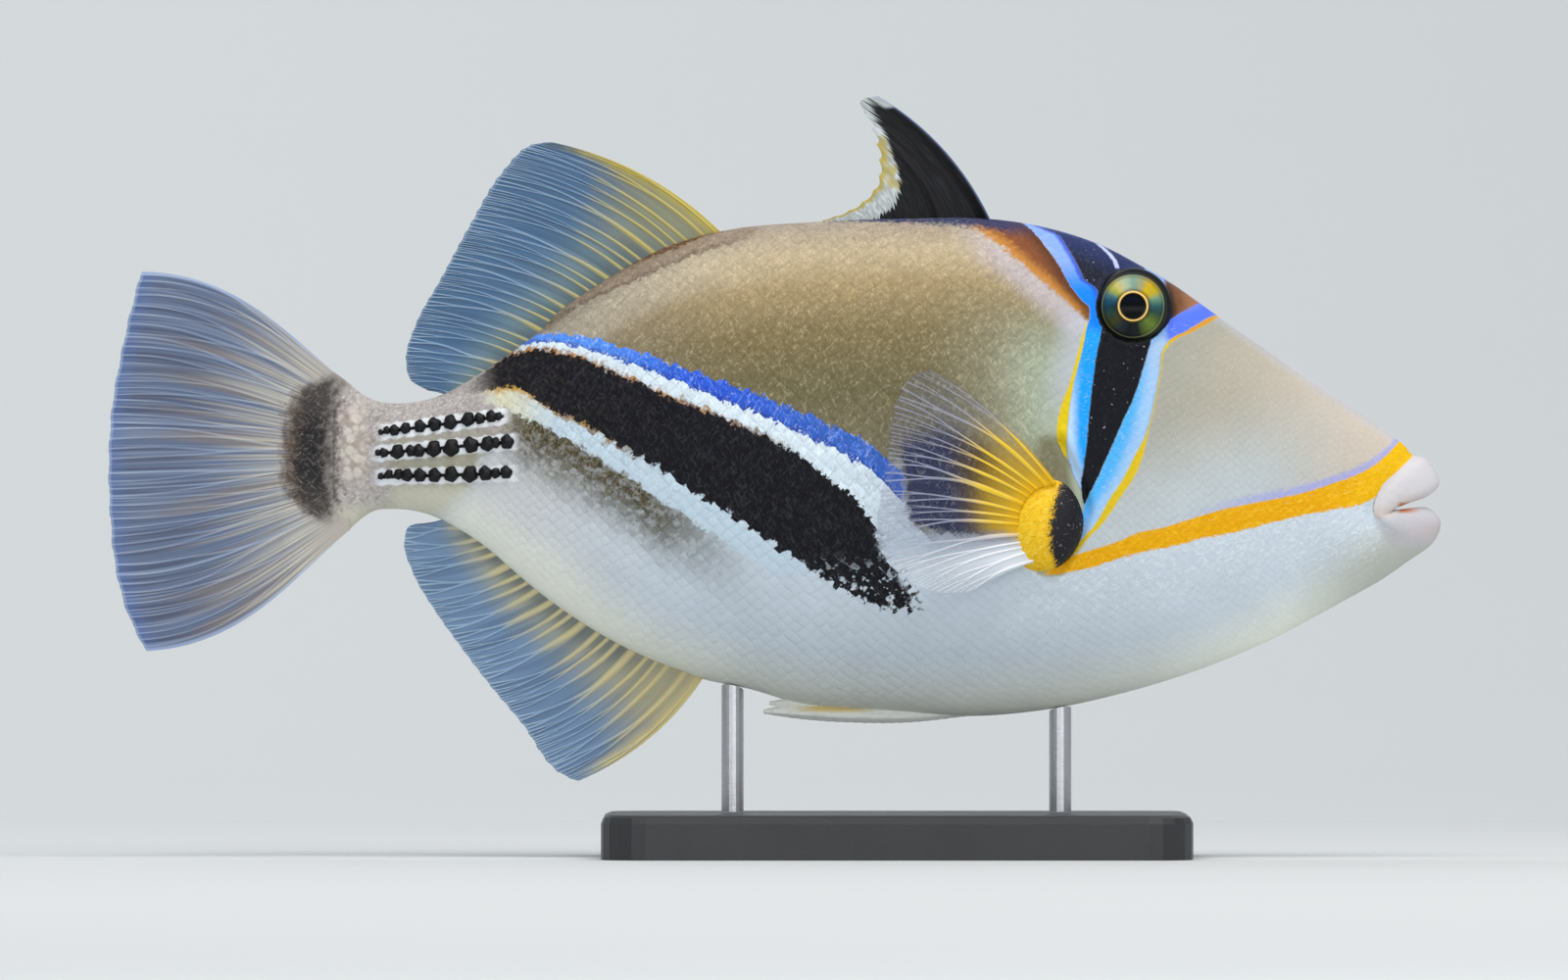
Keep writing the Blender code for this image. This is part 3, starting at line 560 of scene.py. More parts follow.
def makeBodyGrid():
    # places and outward directions over the left side of the skin, ring by ring
    rows = ringRows()
    turns = np.radians(np.linspace(90, -90, body["turns"] + 1))
    shares = np.linspace(0, 1, body["around"] + 1)
    grid = np.zeros((len(rows), body["around"] + 1, 3))
    sideShare = np.zeros(len(rows))
    lengths = np.zeros(len(rows))
    for i, row in enumerate(rows):
        side = ringSide(row, turns)
        runs = np.linalg.norm(np.diff(side, axis=0), axis=1)
        total = np.concatenate([[0.0], np.cumsum(runs)])
        lengths[i] = total[-1]
        sideShare[i] = total[body["turns"] // 2] / total[-1]
        for axis in range(3):
            grid[i, :, axis] = np.interp(shares * total[-1], total, side[:, axis])
    grid[:, 0, 1] = 0.0
    grid[:, -1, 1] = 0.0
    # draw the places nearest to the eye onto two circles round it
    x, z = grid[..., 0], grid[..., 2]
    cx, cz = eyes["centre"]
    away = np.hypot(x - cx, z - cz)
    rim = eyes["rim"]
    wanted = rim + np.where(away < rim, *eyes["rimCircles"])
    near = (np.abs(away - rim - 0.05) < 0.5) & (grid[..., 1] > 2.0)
    pull = np.where(near, wanted / np.maximum(away, 1e-6), 1.0)
    grid[..., 0] = cx + (x - cx) * pull
    grid[..., 2] = cz + (z - cz) * pull
    grid[..., 1] = np.where(near, flankAt(grid[..., 0], grid[..., 2]), grid[..., 1])
    normals = surfaceNormals(grid)
    normals[:, 0, 1] = 0.0
    normals[:, -1, 1] = 0.0
    ringIndex = np.arange(len(rows))[:, None] / body["mouthSteps"]
    lips = 1 - smoothStep(ringIndex, 4.8, 5.6)
    high = bodyRelief(grid[..., 0], grid[..., 2])
    wrinkles = 0.015 * np.sin(np.linspace(0, 95, body["around"] + 1))[None, :] * hump(ringIndex, 3.6, 1.2)
    high = high * (1 - lips) + wrinkles * lips - body["coatDepth"] * (1 - lips)
    high[:, 0] = np.where(lips[:, 0] > 0, high[:, 0], -body["coatDepth"])
    grid = grid + normals * high[..., None]
    grid[:, 0, 1] = 0.0
    grid[:, -1, 1] = 0.0
    return {"grid": grid, "normals": surfaceNormals(grid), "lengths": lengths, "sideShare": sideShare}


def makeSkin(skin, material):
    grid = skin["grid"]
    right = grid * np.array([1.0, -1.0, 1.0])
    points, faces = closeRings(np.concatenate([grid, right[:, -2:0:-1]], axis=1))
    nodes = ("head", "torso", "tail_stalk", "upper_lip", "lower_lip")
    piece = makePiece("fishSkin", points, faces, material, "torso_skin", nodes)
    print("skin:", len(faces) * 2, "triangles")
    return piece


# the shape of each marking in dots: for each column, the row of its edge
markings = {
    "blueTop": [
        (522, 362), (530, 353), (538, 345), (552, 341), (573, 340.5), (594, 343.5), (615, 348), (636, 355),
        (665, 364), (694, 374), (723, 385), (751, 394.5), (780, 405), (809, 418), (832, 427), (851, 436),
        (870, 444), (890, 455.5), (909, 471), (925, 488)],
    "blueBottom": [
        (522, 356), (530, 353), (538, 351), (559, 349.5), (580, 352), (608, 359), (636, 368), (675, 383),
        (713, 398), (746, 411.5), (775, 422), (803, 436), (832, 448), (861, 463), (890, 480), (909, 499),
        (925, 516)],
    "blackTop": [
        (470, 398), (482, 389), (500, 376), (517, 364), (531, 360), (552, 357.5), (573, 361), (594, 366),
        (615, 375), (636, 385), (660, 394.5), (679, 404), (708, 415), (727, 423), (756, 435), (784, 448),
        (809, 461), (832, 476.5), (851, 492), (870, 507), (882, 522), (891.5, 534), (905, 556), (925, 590)],
    "blackBottom": [
        (470, 402), (489, 400), (507, 397), (524, 394.5), (538, 400), (552, 410), (573, 422.5), (594, 431),
        (608, 439), (622, 448), (636, 455), (648, 463), (660, 469), (685, 486), (712, 505), (736, 519),
        (756, 532), (775, 545), (794, 559), (813, 570), (838, 587.5), (865, 604), (893, 617), (930, 622)],
    "whiteBottom": [
        (480, 410), (510, 414), (538, 427), (552, 432), (566, 441), (580, 448), (594, 455), (608, 465),
        (622, 474.5), (636, 481.5), (650, 491), (660, 499.5), (677, 513), (691, 519), (730, 545), (790, 585)],
    "paleTop": [
        (400, 600), (440, 548), (480, 505), (520, 452), (560, 455), (700, 510), (850, 560), (900, 556),
        (930, 546), (1035, 545), (1050, 566), (1065, 588), (1109, 571), (1160, 552), (1229, 536), (1303, 516),
        (1360, 506), (1404, 494), (1420, 486), (1445, 456)],
    # the line below which the belly is painted paler, as painted light from below
    "bellyLitLine": [(430, 520), (560, 600), (700, 690), (900, 735), (1100, 725), (1300, 655), (1440, 560)],
    "stripeTop": [
        (1055, 584), (1068, 579), (1088, 569), (1109, 562), (1140, 552), (1160, 543.5), (1186, 538),
        (1213, 529.5), (1246, 520), (1284, 512), (1322, 504.5), (1360, 493), (1389, 482), (1408, 470),
        (1427, 451), (1440, 436)],
    "stripeBottom": [
        (1055, 588), (1074, 586), (1109, 579.5), (1143, 569), (1169, 562), (1195, 557), (1229, 548.5),
        (1260, 542.5), (1318, 528), (1360, 520), (1389, 514), (1404, 506), (1418, 487), (1437, 470),
        (1445, 462)],
    "back": [
        (picture["middleColumn"] + x / picture["dot"], picture["mouthRow"] - z / picture["dot"])
        for x, z in body["backLine"] + [(110.8, 13.3), (116.5, 8.9)]],
    "brownBottom": [
        (975, 224), (985, 230), (1000, 238), (1020, 250), (1040, 266), (1055, 280), (1070, 292), (1086, 306),
        (1100, 319), (1109, 327), (1118, 336)],
    "violetTop": [
        (1150, 352), (1172, 345), (1185, 334), (1193, 327), (1201, 321.5), (1220, 311), (1245, 297)],
    "wedgeBottom": [(1155, 268), (1167, 279), (1180, 289), (1191.5, 297), (1200, 304)],
    "finRoot": [
        (520, 350), (538, 334), (560, 316), (600, 291), (636, 272), (690, 250), (732, 234), (760, 228)],
    "finFold": [
        (520, 362), (538, 345), (560, 330), (600, 306), (636, 291), (680, 271), (713, 258), (751, 246),
        (790, 238)],
    "padBottom": [
        (1390, 528), (1402, 529), (1411, 529.5), (1419, 528), (1429, 519.5), (1440, 518), (1480, 517)],
    "patchBottom": [(890, 505), (910, 520), (931, 534), (960, 543), (1000, 546), (1045, 542)],
    "patchTop": [(890, 470), (915, 450), (940, 437), (965, 434), (1000, 448), (1025, 470), (1045, 500)],
}
# and for each row, the column of its edge
uprights = {
    "blueLeft": [
        (222, 1037), (228, 1044), (240, 1057), (257, 1070), (273, 1081), (290, 1090), (307, 1103),
        (320, 1111.5), (335, 1108), (356, 1104), (383, 1097), (407, 1092), (433, 1089), (459, 1088),
        (476, 1092), (495, 1100), (510, 1108)],
    "barLeft": [
        (222, 1045), (234, 1067), (241, 1081), (255, 1090), (269, 1098), (286, 1106), (298, 1119),
        (333, 1123), (364, 1117.5), (390, 1114), (419.5, 1110.5), (450, 1108), (476, 1104.5), (497, 1102),
        (512, 1104), (530, 1108)],
    "barRight": [
        (315, 1182), (345.5, 1174), (370, 1167), (402, 1157), (433, 1143), (464, 1129.5), (490, 1117.5),
        (512, 1107), (533, 1102), (554, 1093), (573, 1080)],
    "yellowLeft": [
        (327, 1108), (340, 1104), (361, 1098.5), (392, 1090), (421, 1080), (442, 1077), (456, 1081),
        (472, 1090)],
    "yellowRight": [
        (310, 1262), (327, 1233), (339, 1212), (348.5, 1194), (360, 1186), (381, 1183), (407, 1178),
        (437, 1171), (462, 1162), (488, 1150), (509, 1136), (533, 1121), (552, 1104), (562, 1097),
        (575, 1086)],
    "streak": [(248, 1119), (254, 1126), (261, 1133), (267, 1137), (276, 1140)],
    "blackFront": [(500, 905), (534, 892), (553, 895), (576, 907), (591, 917), (607, 927), (640, 934)],
    "patchRear": [(430, 915), (460, 919), (500, 923), (531, 930), (545, 946)],
    "lipRear": [
        (440, 1460), (452, 1452), (462, 1444), (470, 1437), (480, 1427), (492, 1413), (505, 1405),
        (517, 1401), (525, 1402), (532, 1406), (540, 1440)],
}
knobRows = [((391, 441), (513, 425)), ((385, 463), (522, 451)), ((386, 487), (521, 483))]


def slanted(surface, angle, long, size):
    # noise drawn out along strokes that lean from the upright by the angle
    turned = surface.node("ShaderNodeMapping", {"vector_type": "TEXTURE"}, {
        "Vector": surface, "Rotation": (0.0, math.radians(angle), 0.0), "Scale": (1.0, 1.0, long)})
    return turned.grain(size, 1.5, 0.6, 1.2)


def bodyPaint(wire, place, surface):
    # the fish's colours, roughness and fine relief; place is where the markings are read
    # edges are frayed by short hairs, least on the face and the stalk
    fuzz = surface.grain(0.75, 2.0, 0.6, 0.0, 1).vector("SUBTRACT", (0.5, 0.5, 0.5))
    plainAcross, plainDown = inDots(surface)
    fray = 2.0 - plainAcross.rise(1030.0, 1065.0) * 1.6
    across, down = inDots(place.vector("ADD", fuzz.shade(fray)))
    found = {}

    def past(name):
        # how far a place is below, or in front of, a marking's edge, in dots
        if name not in found:
            if name in uprights:
                found[name] = across - down.follow(uprights[name])
            else:
                found[name] = down - across.follow(markings[name])
        return found[name]

    def teeth(pitch, slow=0.78):
        # saw teeth along the body from -0.5 to 0.5, slow for a share of their pitch
        share = (across * (1 / pitch)).math("FRACT")
        return (share * (1 / slow)).least((1 - share) * (1 / (1 - slow))) - 0.5

    strokes = slanted(surface, 34, 4.2, 0.4).most(slanted(surface, -26, 4.2, 0.4))
    pits = surface.grain(0.8, 2.0, 0.65)
    cloud = surface.grain(9.0, 3.0, 0.55)
    tone, rim = readAttribute(wire, "tone"), readAttribute(wire, "rim")
    eyeAway = ((across - 1155.0) * (across - 1155.0) + (down - 314.0) * (down - 314.0)).math("SQRT")

    # flank: pale along the back, a tone that is partly painted light from above, olive in the middle, greyer
    # behind and greener near the gill
    high = past("back")
    colour = (high * (1 / 260)).ramp(
        (0.0, "A3978A"), (0.13, "BFAD8C"), (0.26, "A7936C"), (0.44, "827450"), (0.66, "716A4C"),
        (1.0, "7E7862"))
    colour = colour.over(
        (across.fall(560.0, 780.0) * 0.8, "7C7567"),
        (across.fall(640.0, 840.0) * high.within(14.0, 60.0, 12.0) * 0.3, "D0C8B8"),
        (across.rise(930.0, 1050.0) * high.rise(50.0, 150.0), "97957C"),
        (across.rise(1000.0, 1070.0) * down.rise(300.0, 390.0), "A9B39E"))
    gillBrown = across.within(1056.0, 1092.0, 7.0) * down.within(446.0, 505.0, 8.0)
    colour = colour.mix(gillBrown * 0.75, "6F6746")
    # cheek and snout
    snout = past("yellowRight").rise(-3.0, 3.0)
    colour = colour.over(
        (snout, "B5AF9F"),
        (snout * past("yellowRight").fall(10.0, 70.0) * 0.7, "A9AA9E"),
        (snout * across.rise(1240.0, 1400.0), "D0C5B7"),
        (snout * past("stripeTop").rise(-120.0, -10.0) * across.fall(1260.0, 1400.0), "C3CCD0"),
        # painted highlight: a lighter band and a thin pale rim along the snout's upper edge
        (snout * high.fall(2.0, 14.0) * 0.5, "C5C9D6"),
        (snout * high.fall(0.5, 3.0) * 0.6, "DDE1F2"))
    # stalk: furred above and behind, smooth and creamy below
    stalk = across.fall(470.0, 560.0)
    colour = colour.over(
        (stalk, "ABA897"),
        (stalk * down.rise(484.0, 504.0), "CDCBB9"))
    furred = stalk * down.fall(430.0, 456.0).most(across.fall(388.0, 412.0) * down.fall(505.0, 530.0))
    colour = colour.mix(furred * (0.5 + cloud * 0.7), "B1A9A8")
    fur = slanted(surface, 58, 4.6, 0.4).most(slanted(surface, -40, 4.6, 0.4))
    colour = colour.over(
        (furred * fur.rise(0.56, 0.68) * 0.75, "DEDAD6"),
        (furred * pits.fall(0.36, 0.5) * 0.4, "776B64"))
    # belly; its lowest part is painted paler, as painted light from below
    soft = across.follow([(300, 24.0), (560, 24.0), (900, 12.0), (1040, 6.0), (1070, 1.5), (1450, 1.5)])
    pale = (past("paleTop") / soft).rise(-1.0, 1.0)
    colour = colour.over(
        (pale, "CEDAE4"),
        (pale * across.fall(500.0, 720.0) * 0.8, "CFCFCF"),
        # painted light: the belly painted paler below this line, standing in for light from below
        (pale * past("bellyLitLine").rise(-75.0, 0.0) * 0.95, "F0F3E6"),
        (pale * across.rise(1300.0, 1410.0) * past("stripeBottom").rise(10.0, 70.0) * 0.8, "AEB2AA"))
    beads = slanted(surface, 64, 2.2, 0.55)
    beaded = pale * past("stripeBottom").fall(20.0, 90.0) * across.rise(1000.0, 1080.0)
    colour = colour.mix(beaded * beads.rise(0.5, 0.66) * 0.45, "F1F5FB")
    # the fin's muscle, brown between its root and the fold below it
    muscle = past("finRoot").rise(-2.0, 3.0) * past("finFold").fall(-2.0, 3.0)
    muscle = muscle * across.within(530.0, 775.0, 14.0)
    colour = colour.mix(muscle * 0.75, "8F7C6B")
    # a darker line along the fold under the fin's muscle: painted shade in the crease
    fold = past("finFold").size().fall(0.5, 3.5) * across.within(530.0, 745.0, 14.0)
    colour = colour.mix(fold * 0.5, "4F453C")
    rootLine = past("finRoot").size().fall(1.5, 4.5) * across.within(515.0, 740.0, 10.0)
    colour = colour.mix(rootLine, "6A4A30")

    # speckled olive patch under the lower white band
    ragged = past("whiteBottom") + teeth(15.0, 0.6) * 3.0 - place.grain(3.6, 3.0, 0.6) * 16.0 + 8.0
    patch = ragged.rise(-1.5, 2.5) * ragged.fall(12.0, 84.0) * across.rise(500.0, 540.0)
    patch = patch * across.fall(650.0, 790.0)
    speck = surface.grain(1.5, 3.0, 0.7).rise(0.36, 0.56)
    colour = colour.over(
        (patch * (speck * 0.4 + 0.6), "453E29"),
        (patch * strokes.rise(0.5, 0.64) * 0.3, "A09A80"))

    # bands of the flank
    saw, nicks = teeth(14.7), teeth(12.6, 0.7)
    front = past("blackFront").rise(-3.0, 3.0)
    whiteUpper = past("blueTop").rise(-0.5, 1.5) * across.rise(512.0, 524.0) * across.fall(905.0, 925.0)
    colour = colour.mix(whiteUpper * past("blackTop").fall(3.0, 8.0), "DCEBF5")
    behindPatch = front * past("patchRear").fall(-6.0, 6.0) * down.rise(462.0, 495.0)
    behindPatch = behindPatch * down.fall(590.0, 630.0)
    colour = colour.mix(behindPatch, "D8E5EF")
    lowWhite = (past("whiteBottom") + teeth(15.0, 0.6) * 3.5).fall(-1.5, 3.0)
    lowWhite = lowWhite * past("blackBottom").rise(-7.0, -4.0)
    lowWhite = lowWhite * across.rise(488.0, 510.0)
    colour = colour.over(
        (lowWhite, "C6D9E6"),
        (lowWhite * across.fall(508.0, 575.0) * 0.75, "DCD2A4"))
    lower = past("blackBottom") + saw * 7.5 * across.rise(560.0, 620.0)
    upper = past("blackTop") - teeth(8.3, 0.5) * 3.0
    inBand = across.rise(466.0, 512.0) * (1 - front)
    spots = place.grain(2.4, 2.0, 0.6)
    above = upper.size().fall(0.5, 6.0) * across.within(508.0, 800.0, 25.0) * (1 - front)
    below = lower.size().fall(0.5, 7.0) * across.within(505.0, 650.0, 22.0)
    colour = colour.over(
        (above * 0.85, "70513A"),
        (below * 0.85, "7A5C3C"))
    golden = spots.rise(0.4, 0.62) * 0.7
    colour = colour.over(
        (above * golden * across.fall(680.0, 790.0), "C58A38"),
        (below * golden.most(across.fall(520.0, 570.0)) * across.fall(600.0, 650.0), "CBA048"))
    solid = place.grain(1.4, 2.0, 0.7).rise(0.36, 0.44)
    solid = solid.most(down.fall(560.0, 605.0)).most(across.fall(795.0, 855.0))
    black = upper.rise(-1.0, 1.2) * lower.fall(-1.2, 1.4) * inBand
    tuft = place.grain(0.7, 1.0, 0.6).rise(0.5, 0.58) * past("blackFront").fall(4.0, 16.0) * front
    loose = tuft * down.within(580.0, 624.0, 5.0) + (tuft * down.within(540.0, 590.0, 5.0) * 0.35)
    colour = colour.over(
        (loose, "35332F"),
        (black * solid, "121217"),
        (black * solid * strokes.rise(0.54, 0.66) * 0.35, "3F414C"),
        (black * solid * across.fall(600.0, 700.0) * pits.rise(0.5, 0.65) * 0.4, "3B2F28"))
    blue = (past("blueTop") + nicks * 2.6).rise(-0.8, 1.0)
    blueLow = past("blueBottom") + nicks * across.rise(660.0, 760.0) * 3.0
    blue = blue * blueLow.fall(-0.8, 1.0) * across.within(530.0, 920.0, 4.0)
    colour = colour.over(
        (blue, "5090F4"),
        (blue * across.rise(600.0, 720.0), "2B5ADA"),
        (blue * across.rise(700.0, 860.0), "3A68C6"),
        (blue * blueLow.rise(-5.0, -0.5) * 0.7, "1E3088"),
        (blue * strokes.rise(0.55, 0.68) * 0.3, "7BA2F8"))

    # dark patch behind the pectoral fin, seen through it
    dark = past("patchRear").rise(-3.0, 5.0) * past("patchBottom").fall(-5.0, 2.0)
    dark = dark * across.fall(1028.0, 1050.0)
    dark = dark * (past("patchTop") * 0.6).rise(-8.0, 14.0)
    colour = colour.mix(dark * 0.97, "0E1740")

    # forehead: pale halo, brown band with an orange edge, blue band and black cap
    behindBlue = past("blueLeft").fall(-1.5, 1.0)
    fromBrown = past("brownBottom") + (pits - 0.5) * 10.0
    halo = fromBrown.rise(-4.0, 6.0) * fromBrown.fall(14.0, 46.0) * behindBlue
    colour = colour.mix(halo * across.rise(960.0, 1030.0) * down.fall(330.0, 360.0) * 0.7, "C7BFC8")
    glow = past("blueLeft").rise(-42.0, -6.0) * behindBlue * down.rise(300.0, 335.0) * down.fall(380.0, 450.0)
    colour = colour.mix(glow * 0.65, "C6CBD8")
    brown = fromBrown.fall(-3.0, 4.0) * behindBlue * across.rise(970.0, 1015.0) * down.fall(322.0, 336.0)
    colour = colour.over(
        (brown, "C8873A"),
        (brown * fromBrown.fall(-18.0, -1.0) * 0.95, "80492A"),
        (brown * past("blueLeft").rise(-18.0, -2.0) * 0.7, "4E2C1A"))
    deep = across.follow([(820, 1.0), (880, 3.0), (960, 7.5), (1006, 10.5), (1050, 13.0)])
    crest = ((high + (pits - 0.5) * 6.0) / deep).fall(0.6, 1.5) * across.within(850.0, 1046.0, 22.0)
    colour = colour.mix(crest * 0.92, "2A3964")
    bothBlue = past("blueLeft").rise(-1.0, 1.0) * past("barLeft").fall(-1.0, 1.0) * down.fall(500.0, 512.0)
    colour = colour.over(
        (bothBlue, "8CAFFB"),
        (bothBlue * down.rise(262.0, 300.0), "0F86FC"),
        (bothBlue * past("barLeft").rise(-7.0, -2.0) * down.fall(285.0, 325.0) * 0.8, "2242C6"))
    lowBlue = bothBlue * down.rise(328.0, 345.0)
    colour = colour.mix(lowBlue, "18A4FC")
    inner = down.follow([(330, 0.0), (400, 4.0), (440, 8.0), (500, 11.0)])
    outside = (past("blueLeft") - inner).fall(-6.0, 6.0)
    colour = colour.mix(lowBlue * outside * down.rise(360.0, 420.0) * 0.8, "CFE6F8")
    cap = past("barLeft").rise(-1.0, 1.0) * down.fall(312.0, 320.0) * across.fall(1191.0, 1197.0)
    colour = colour.over(
        (cap, "171A2C"),
        # the cap lighter towards the back's edge: painted highlight from the light above
        (cap * high.fall(2.0, 34.0) * 0.6, "364480"),
        (cap * strokes.rise(0.56, 0.68) * 0.25, "565B78"),
        (past("streak").size().fall(1.0, 3.2) * down.within(249.0, 274.0, 1.5), "C6D2F6"),
        (past("wedgeBottom").fall(-1.0, 1.0) * across.within(1168.0, 1191.0, 1.5), "8FB4FA"))
    nape = across.rise(1186.0, 1192.0) * past("violetTop").fall(-1.0, 1.0) * across.fall(1238.0, 1250.0)
    colour = colour.over(
        (nape, "A87654"),
        (nape * eyeAway.fall(42.0, 66.0) * 0.8, "5A3826"),
        (nape * eyeAway.fall(38.0, 47.0), "2A1F1E"),
        # a thin pale rim along the top edge of the cap and nape: painted highlight
        ((cap + nape) * high.fall(0.5, 3.0) * 0.6, "8E9FDC"))
    behindYellow = past("yellowRight").fall(-3.5, -0.5)
    rightBlue = past("barRight").rise(-1.0, 1.0) * behindYellow * down.rise(325.0, 335.0)
    rightBlue = rightBlue * down.fall(562.0, 572.0)
    colour = colour.over(
        (rightBlue, "50B6FA"),
        (rightBlue * down.fall(345.0, 400.0) * 0.5, "A9B4DC"))
    toYellow = past("yellowRight").rise(-24.0, -7.0)
    colour = colour.mix(rightBlue * toYellow * 0.6, "C6DAF4")
    violet = past("violetTop").rise(-1.0, 1.0) * behindYellow * across.rise(1184.0, 1194.0)
    violet = violet * down.fall(344.0, 352.0)
    colour = colour.over(
        (violet, "5A7CFA"),
        (violet * past("violetTop").fall(-1.0, 10.0) * across.rise(1196.0, 1230.0) * 0.6, "8F9AF2"))
    hairs = surface.vector("MULTIPLY", (0.7, 1.0, 1.6)).grain(0.5, 2.0)
    colour = colour.mix((rightBlue + lowBlue) * hairs.rise(0.55, 0.68) * 0.15, "F0F6FC")
    bar = past("barLeft").rise(-1.0, 1.0) * past("barRight").fall(-1.0, 1.0) * down.within(318.0, 514.0, 2.0)
    colour = colour.mix(bar, "11141C")
    flecks = surface.grain(0.62, 1.0).rise(0.72, 0.77) * down.fall(420.0, 520.0)
    colour = colour.over(
        ((bar + cap) * flecks * 0.75, "B4BEC8"),
        (eyeAway.fall(37.0, 39.0), "15161B"))
    yellowLeft = past("yellowLeft").rise(-1.2, 1.2) * past("blueLeft").fall(-1.7, 0.7)
    yellowLeft = yellowLeft * down.within(330.0, 468.0, 4.0)
    colour = colour.mix(yellowLeft, "E8CB14")
    steep = down.follow([(310, 0.47), (339, 0.5), (348, 0.62), (360, 0.95), (381, 1.0), (575, 0.85)])
    thick = down.follow([
        (310, 2.4), (340, 1.7), (370, 1.2), (430, 1.1), (455, 2.6), (475, 4.8), (495, 5.0), (540, 2.8),
        (575, 2.0)])
    yellowRight = (past("yellowRight") * steep).size() - thick
    yellowRight = yellowRight.fall(-1.2, 1.3) * down.within(323.0, 566.0, 3.0)
    colour = colour.over(
        (yellowRight * (1 - down.within(362.0, 440.0, 12.0) * 0.6), "E6C521"),
        (yellowRight * down.fall(335.0, 356.0), "E09A2C"))

    # stripe from the mouth to the gill, and the lavender line over its front
    lavender = (past("stripeTop") + (hairs - 0.5) * 9.0).rise(-11.0, -4.5)
    lavender = lavender * past("stripeTop").fall(-1.0, 1.0) * across.rise(1180.0, 1330.0)
    colour = colour.mix(lavender * across.fall(1426.0, 1434.0) * (hairs * 0.7 + 0.45).least(1.0), "A5A9E6")
    stripeLow = past("stripeBottom") + (hairs - 0.5) * 7.0 * across.fall(1380.0, 1420.0)
    stripe = past("stripeTop").rise(-1.0, 1.2) * stripeLow.fall(-1.2, 1.4) * across.rise(1060.0, 1072.0)
    colour = colour.over(
        (stripe, "F0AE00"),
        (stripe * across.rise(1340.0, 1420.0) * 0.6, "FBCB04"))
    grooves = slanted(surface, 74, 4.0, 0.42)
    colour = colour.over(
        (stripe * grooves.rise(0.52, 0.64) * 0.45, "FFD23C"),
        (stripe * grooves.fall(0.36, 0.46) * 0.3, "D89400"))

    # lips: the upper one a porcelain pad, the lower one fading into the chin
    lowLip = across.rise(1395.0, 1440.0) * down.within(515.0, 556.0, 12.0)
    colour = colour.over(
        (lowLip * 0.85, "CFCAD4"),
        (across.rise(1425.0, 1462.0) * down.within(534.0, 552.0, 9.0) * 0.35, "CDBBAA"))
    pad = past("lipRear").rise(-1.2, 1.2) * past("padBottom").fall(-1.2, 1.2)
    rimOfPad = past("lipRear").size().fall(0.4, 1.6) * down.within(505.0, 526.0, 5.0)
    colour = colour.over(
        # a dark line along the pad's rear edge: painted shade in the lip's crease
        (rimOfPad * 0.75, "5C5148"),
        (pad, "D8D5D8"),
        # the pad's lower part warmer and darker: painted shade with a warm reflected tint
        (pad * past("padBottom").rise(-20.0, -3.0) * 0.55, "D2BFB2"))
    gape = place.part(0).fall(113.0, 117.0) * (down - 518.0).size().fall(3.0, 7.0)
    gape = gape * across.rise(1424.0, 1430.0)
    colour = colour.over(
        (gape, "C07036"),
        # darker further into the mouth: painted shade in the gape
        (gape * place.part(0).fall(110.0, 113.5), "4A2417"))

    # white sheaths and black links of the stalk's spine rows
    for (x0, y0), (x1, y1) in knobRows:
        off = plainDown - ((plainAcross - x0) * ((y1 - y0) / (x1 - x0)) + y0)
        ends = plainAcross.within(x0 - 2.0, x1 + 5.0, 7.0)
        bumps = (plainAcross * (1 / 15.0)).math("PINGPONG", 0.5) * 3.0
        colour = colour.mix((off.size() + bumps + (pits - 0.5) * 4.0).fall(7.5, 10.5) * ends, "F1F5F9")
        colour = colour.mix(off.size().fall(1.2, 2.4) * plainAcross.within(x0, x1 + 2.0, 1.5), "131217")
    # dark furry bar at the root of the tail fin
    colour = tailBar(surface, across, down, colour)

    # grain: strokes of straw and grey on the flank, quieter on the head and belly
    coarse = (1 - pale) * across.fall(1040.0, 1100.0) * (1 - stalk) * (1 - black) * (1 - brown * 0.8)
    light = colour.shade(1.36).mix(pits.rise(0.4, 0.6) * 0.35, "D5CCB2")
    colour = colour.mix(strokes.rise(0.55, 0.68) * (coarse * 0.75 + 0.05), light)
    colour = colour.mix(pits.fall(0.34, 0.5) * (coarse * 0.36 + 0.03), colour.shade(0.64))
    grit = surface.grain(0.5, 1.0).rise(0.64, 0.72)
    colour = colour.mix(grit * snout * (1 - pale) * 0.16, "EFE6D8")
    colour = colour.shade(1 - rim * (coarse * 0.05 + 0.015))
    spread = 0.015 + coarse * 0.05
    colour = colour.shade(1 - spread + tone * spread * 2.0)
    colour = colour.shade(cloud * 0.14 + 0.93)
    rough = 0.52 - pad * 0.26 + strokes * 0.1 - pale * 0.06
    fine = surface.grain(0.28, 2.0, 0.6) * 0.5 + strokes * coarse + fur * furred + beads * pale * 0.8
    return colour, rough, fine


def tailBar(surface, across, down, colour):
    # the dark band over the roots of the tail's rays, furred with paler hairs
    hairs = slanted(surface, 52, 5.0, 0.38).most(slanted(surface, -46, 5.0, 0.38))
    middle = down.follow([
        (376, 345.0), (385, 341.0), (400, 325.0), (430, 317.0), (470, 316.0), (500, 318.0), (520, 325.0),
        (545, 337.0)])
    off = (across - middle) + (surface.grain(1.5, 3.0, 0.7) - 0.5) * 36.0
    half = down.follow([
        (376, 6.0), (388, 12.0), (402, 21.0), (430, 25.0), (500, 24.0), (520, 15.0), (536, 6.0), (548, 2.0)])
    shade = (off.size() - half).fall(-12.0, 11.0) * down.within(384.0, 532.0, 9.0)
    cobbles = surface.node("ShaderNodeTexVoronoi", None, {"Vector": surface, "Scale": 0.62}, "Distance")
    cobbles = cobbles.fall(0.36, 0.72)
    ground = across.within(346.0, 372.0, 9.0) * down.within(413.0, 492.0, 12.0)
    colour = colour.over(
        (ground * 0.75, "B0A198"),
        (ground * cobbles * 0.75, "E4DED4"),
        (shade * 0.95, "332B2A"),
        (shade * off.size().fall(6.0, 24.0) * down.within(420.0, 504.0, 26.0), "100E13"),
        (shade * off.fall(-28.0, -5.0) * 0.75, "614C3A"),
        (shade * off.rise(9.0, 24.0) * 0.7, "6E6864"))
    return colour.mix(shade * hairs.rise(0.58, 0.7) * 0.42, "A0978D")


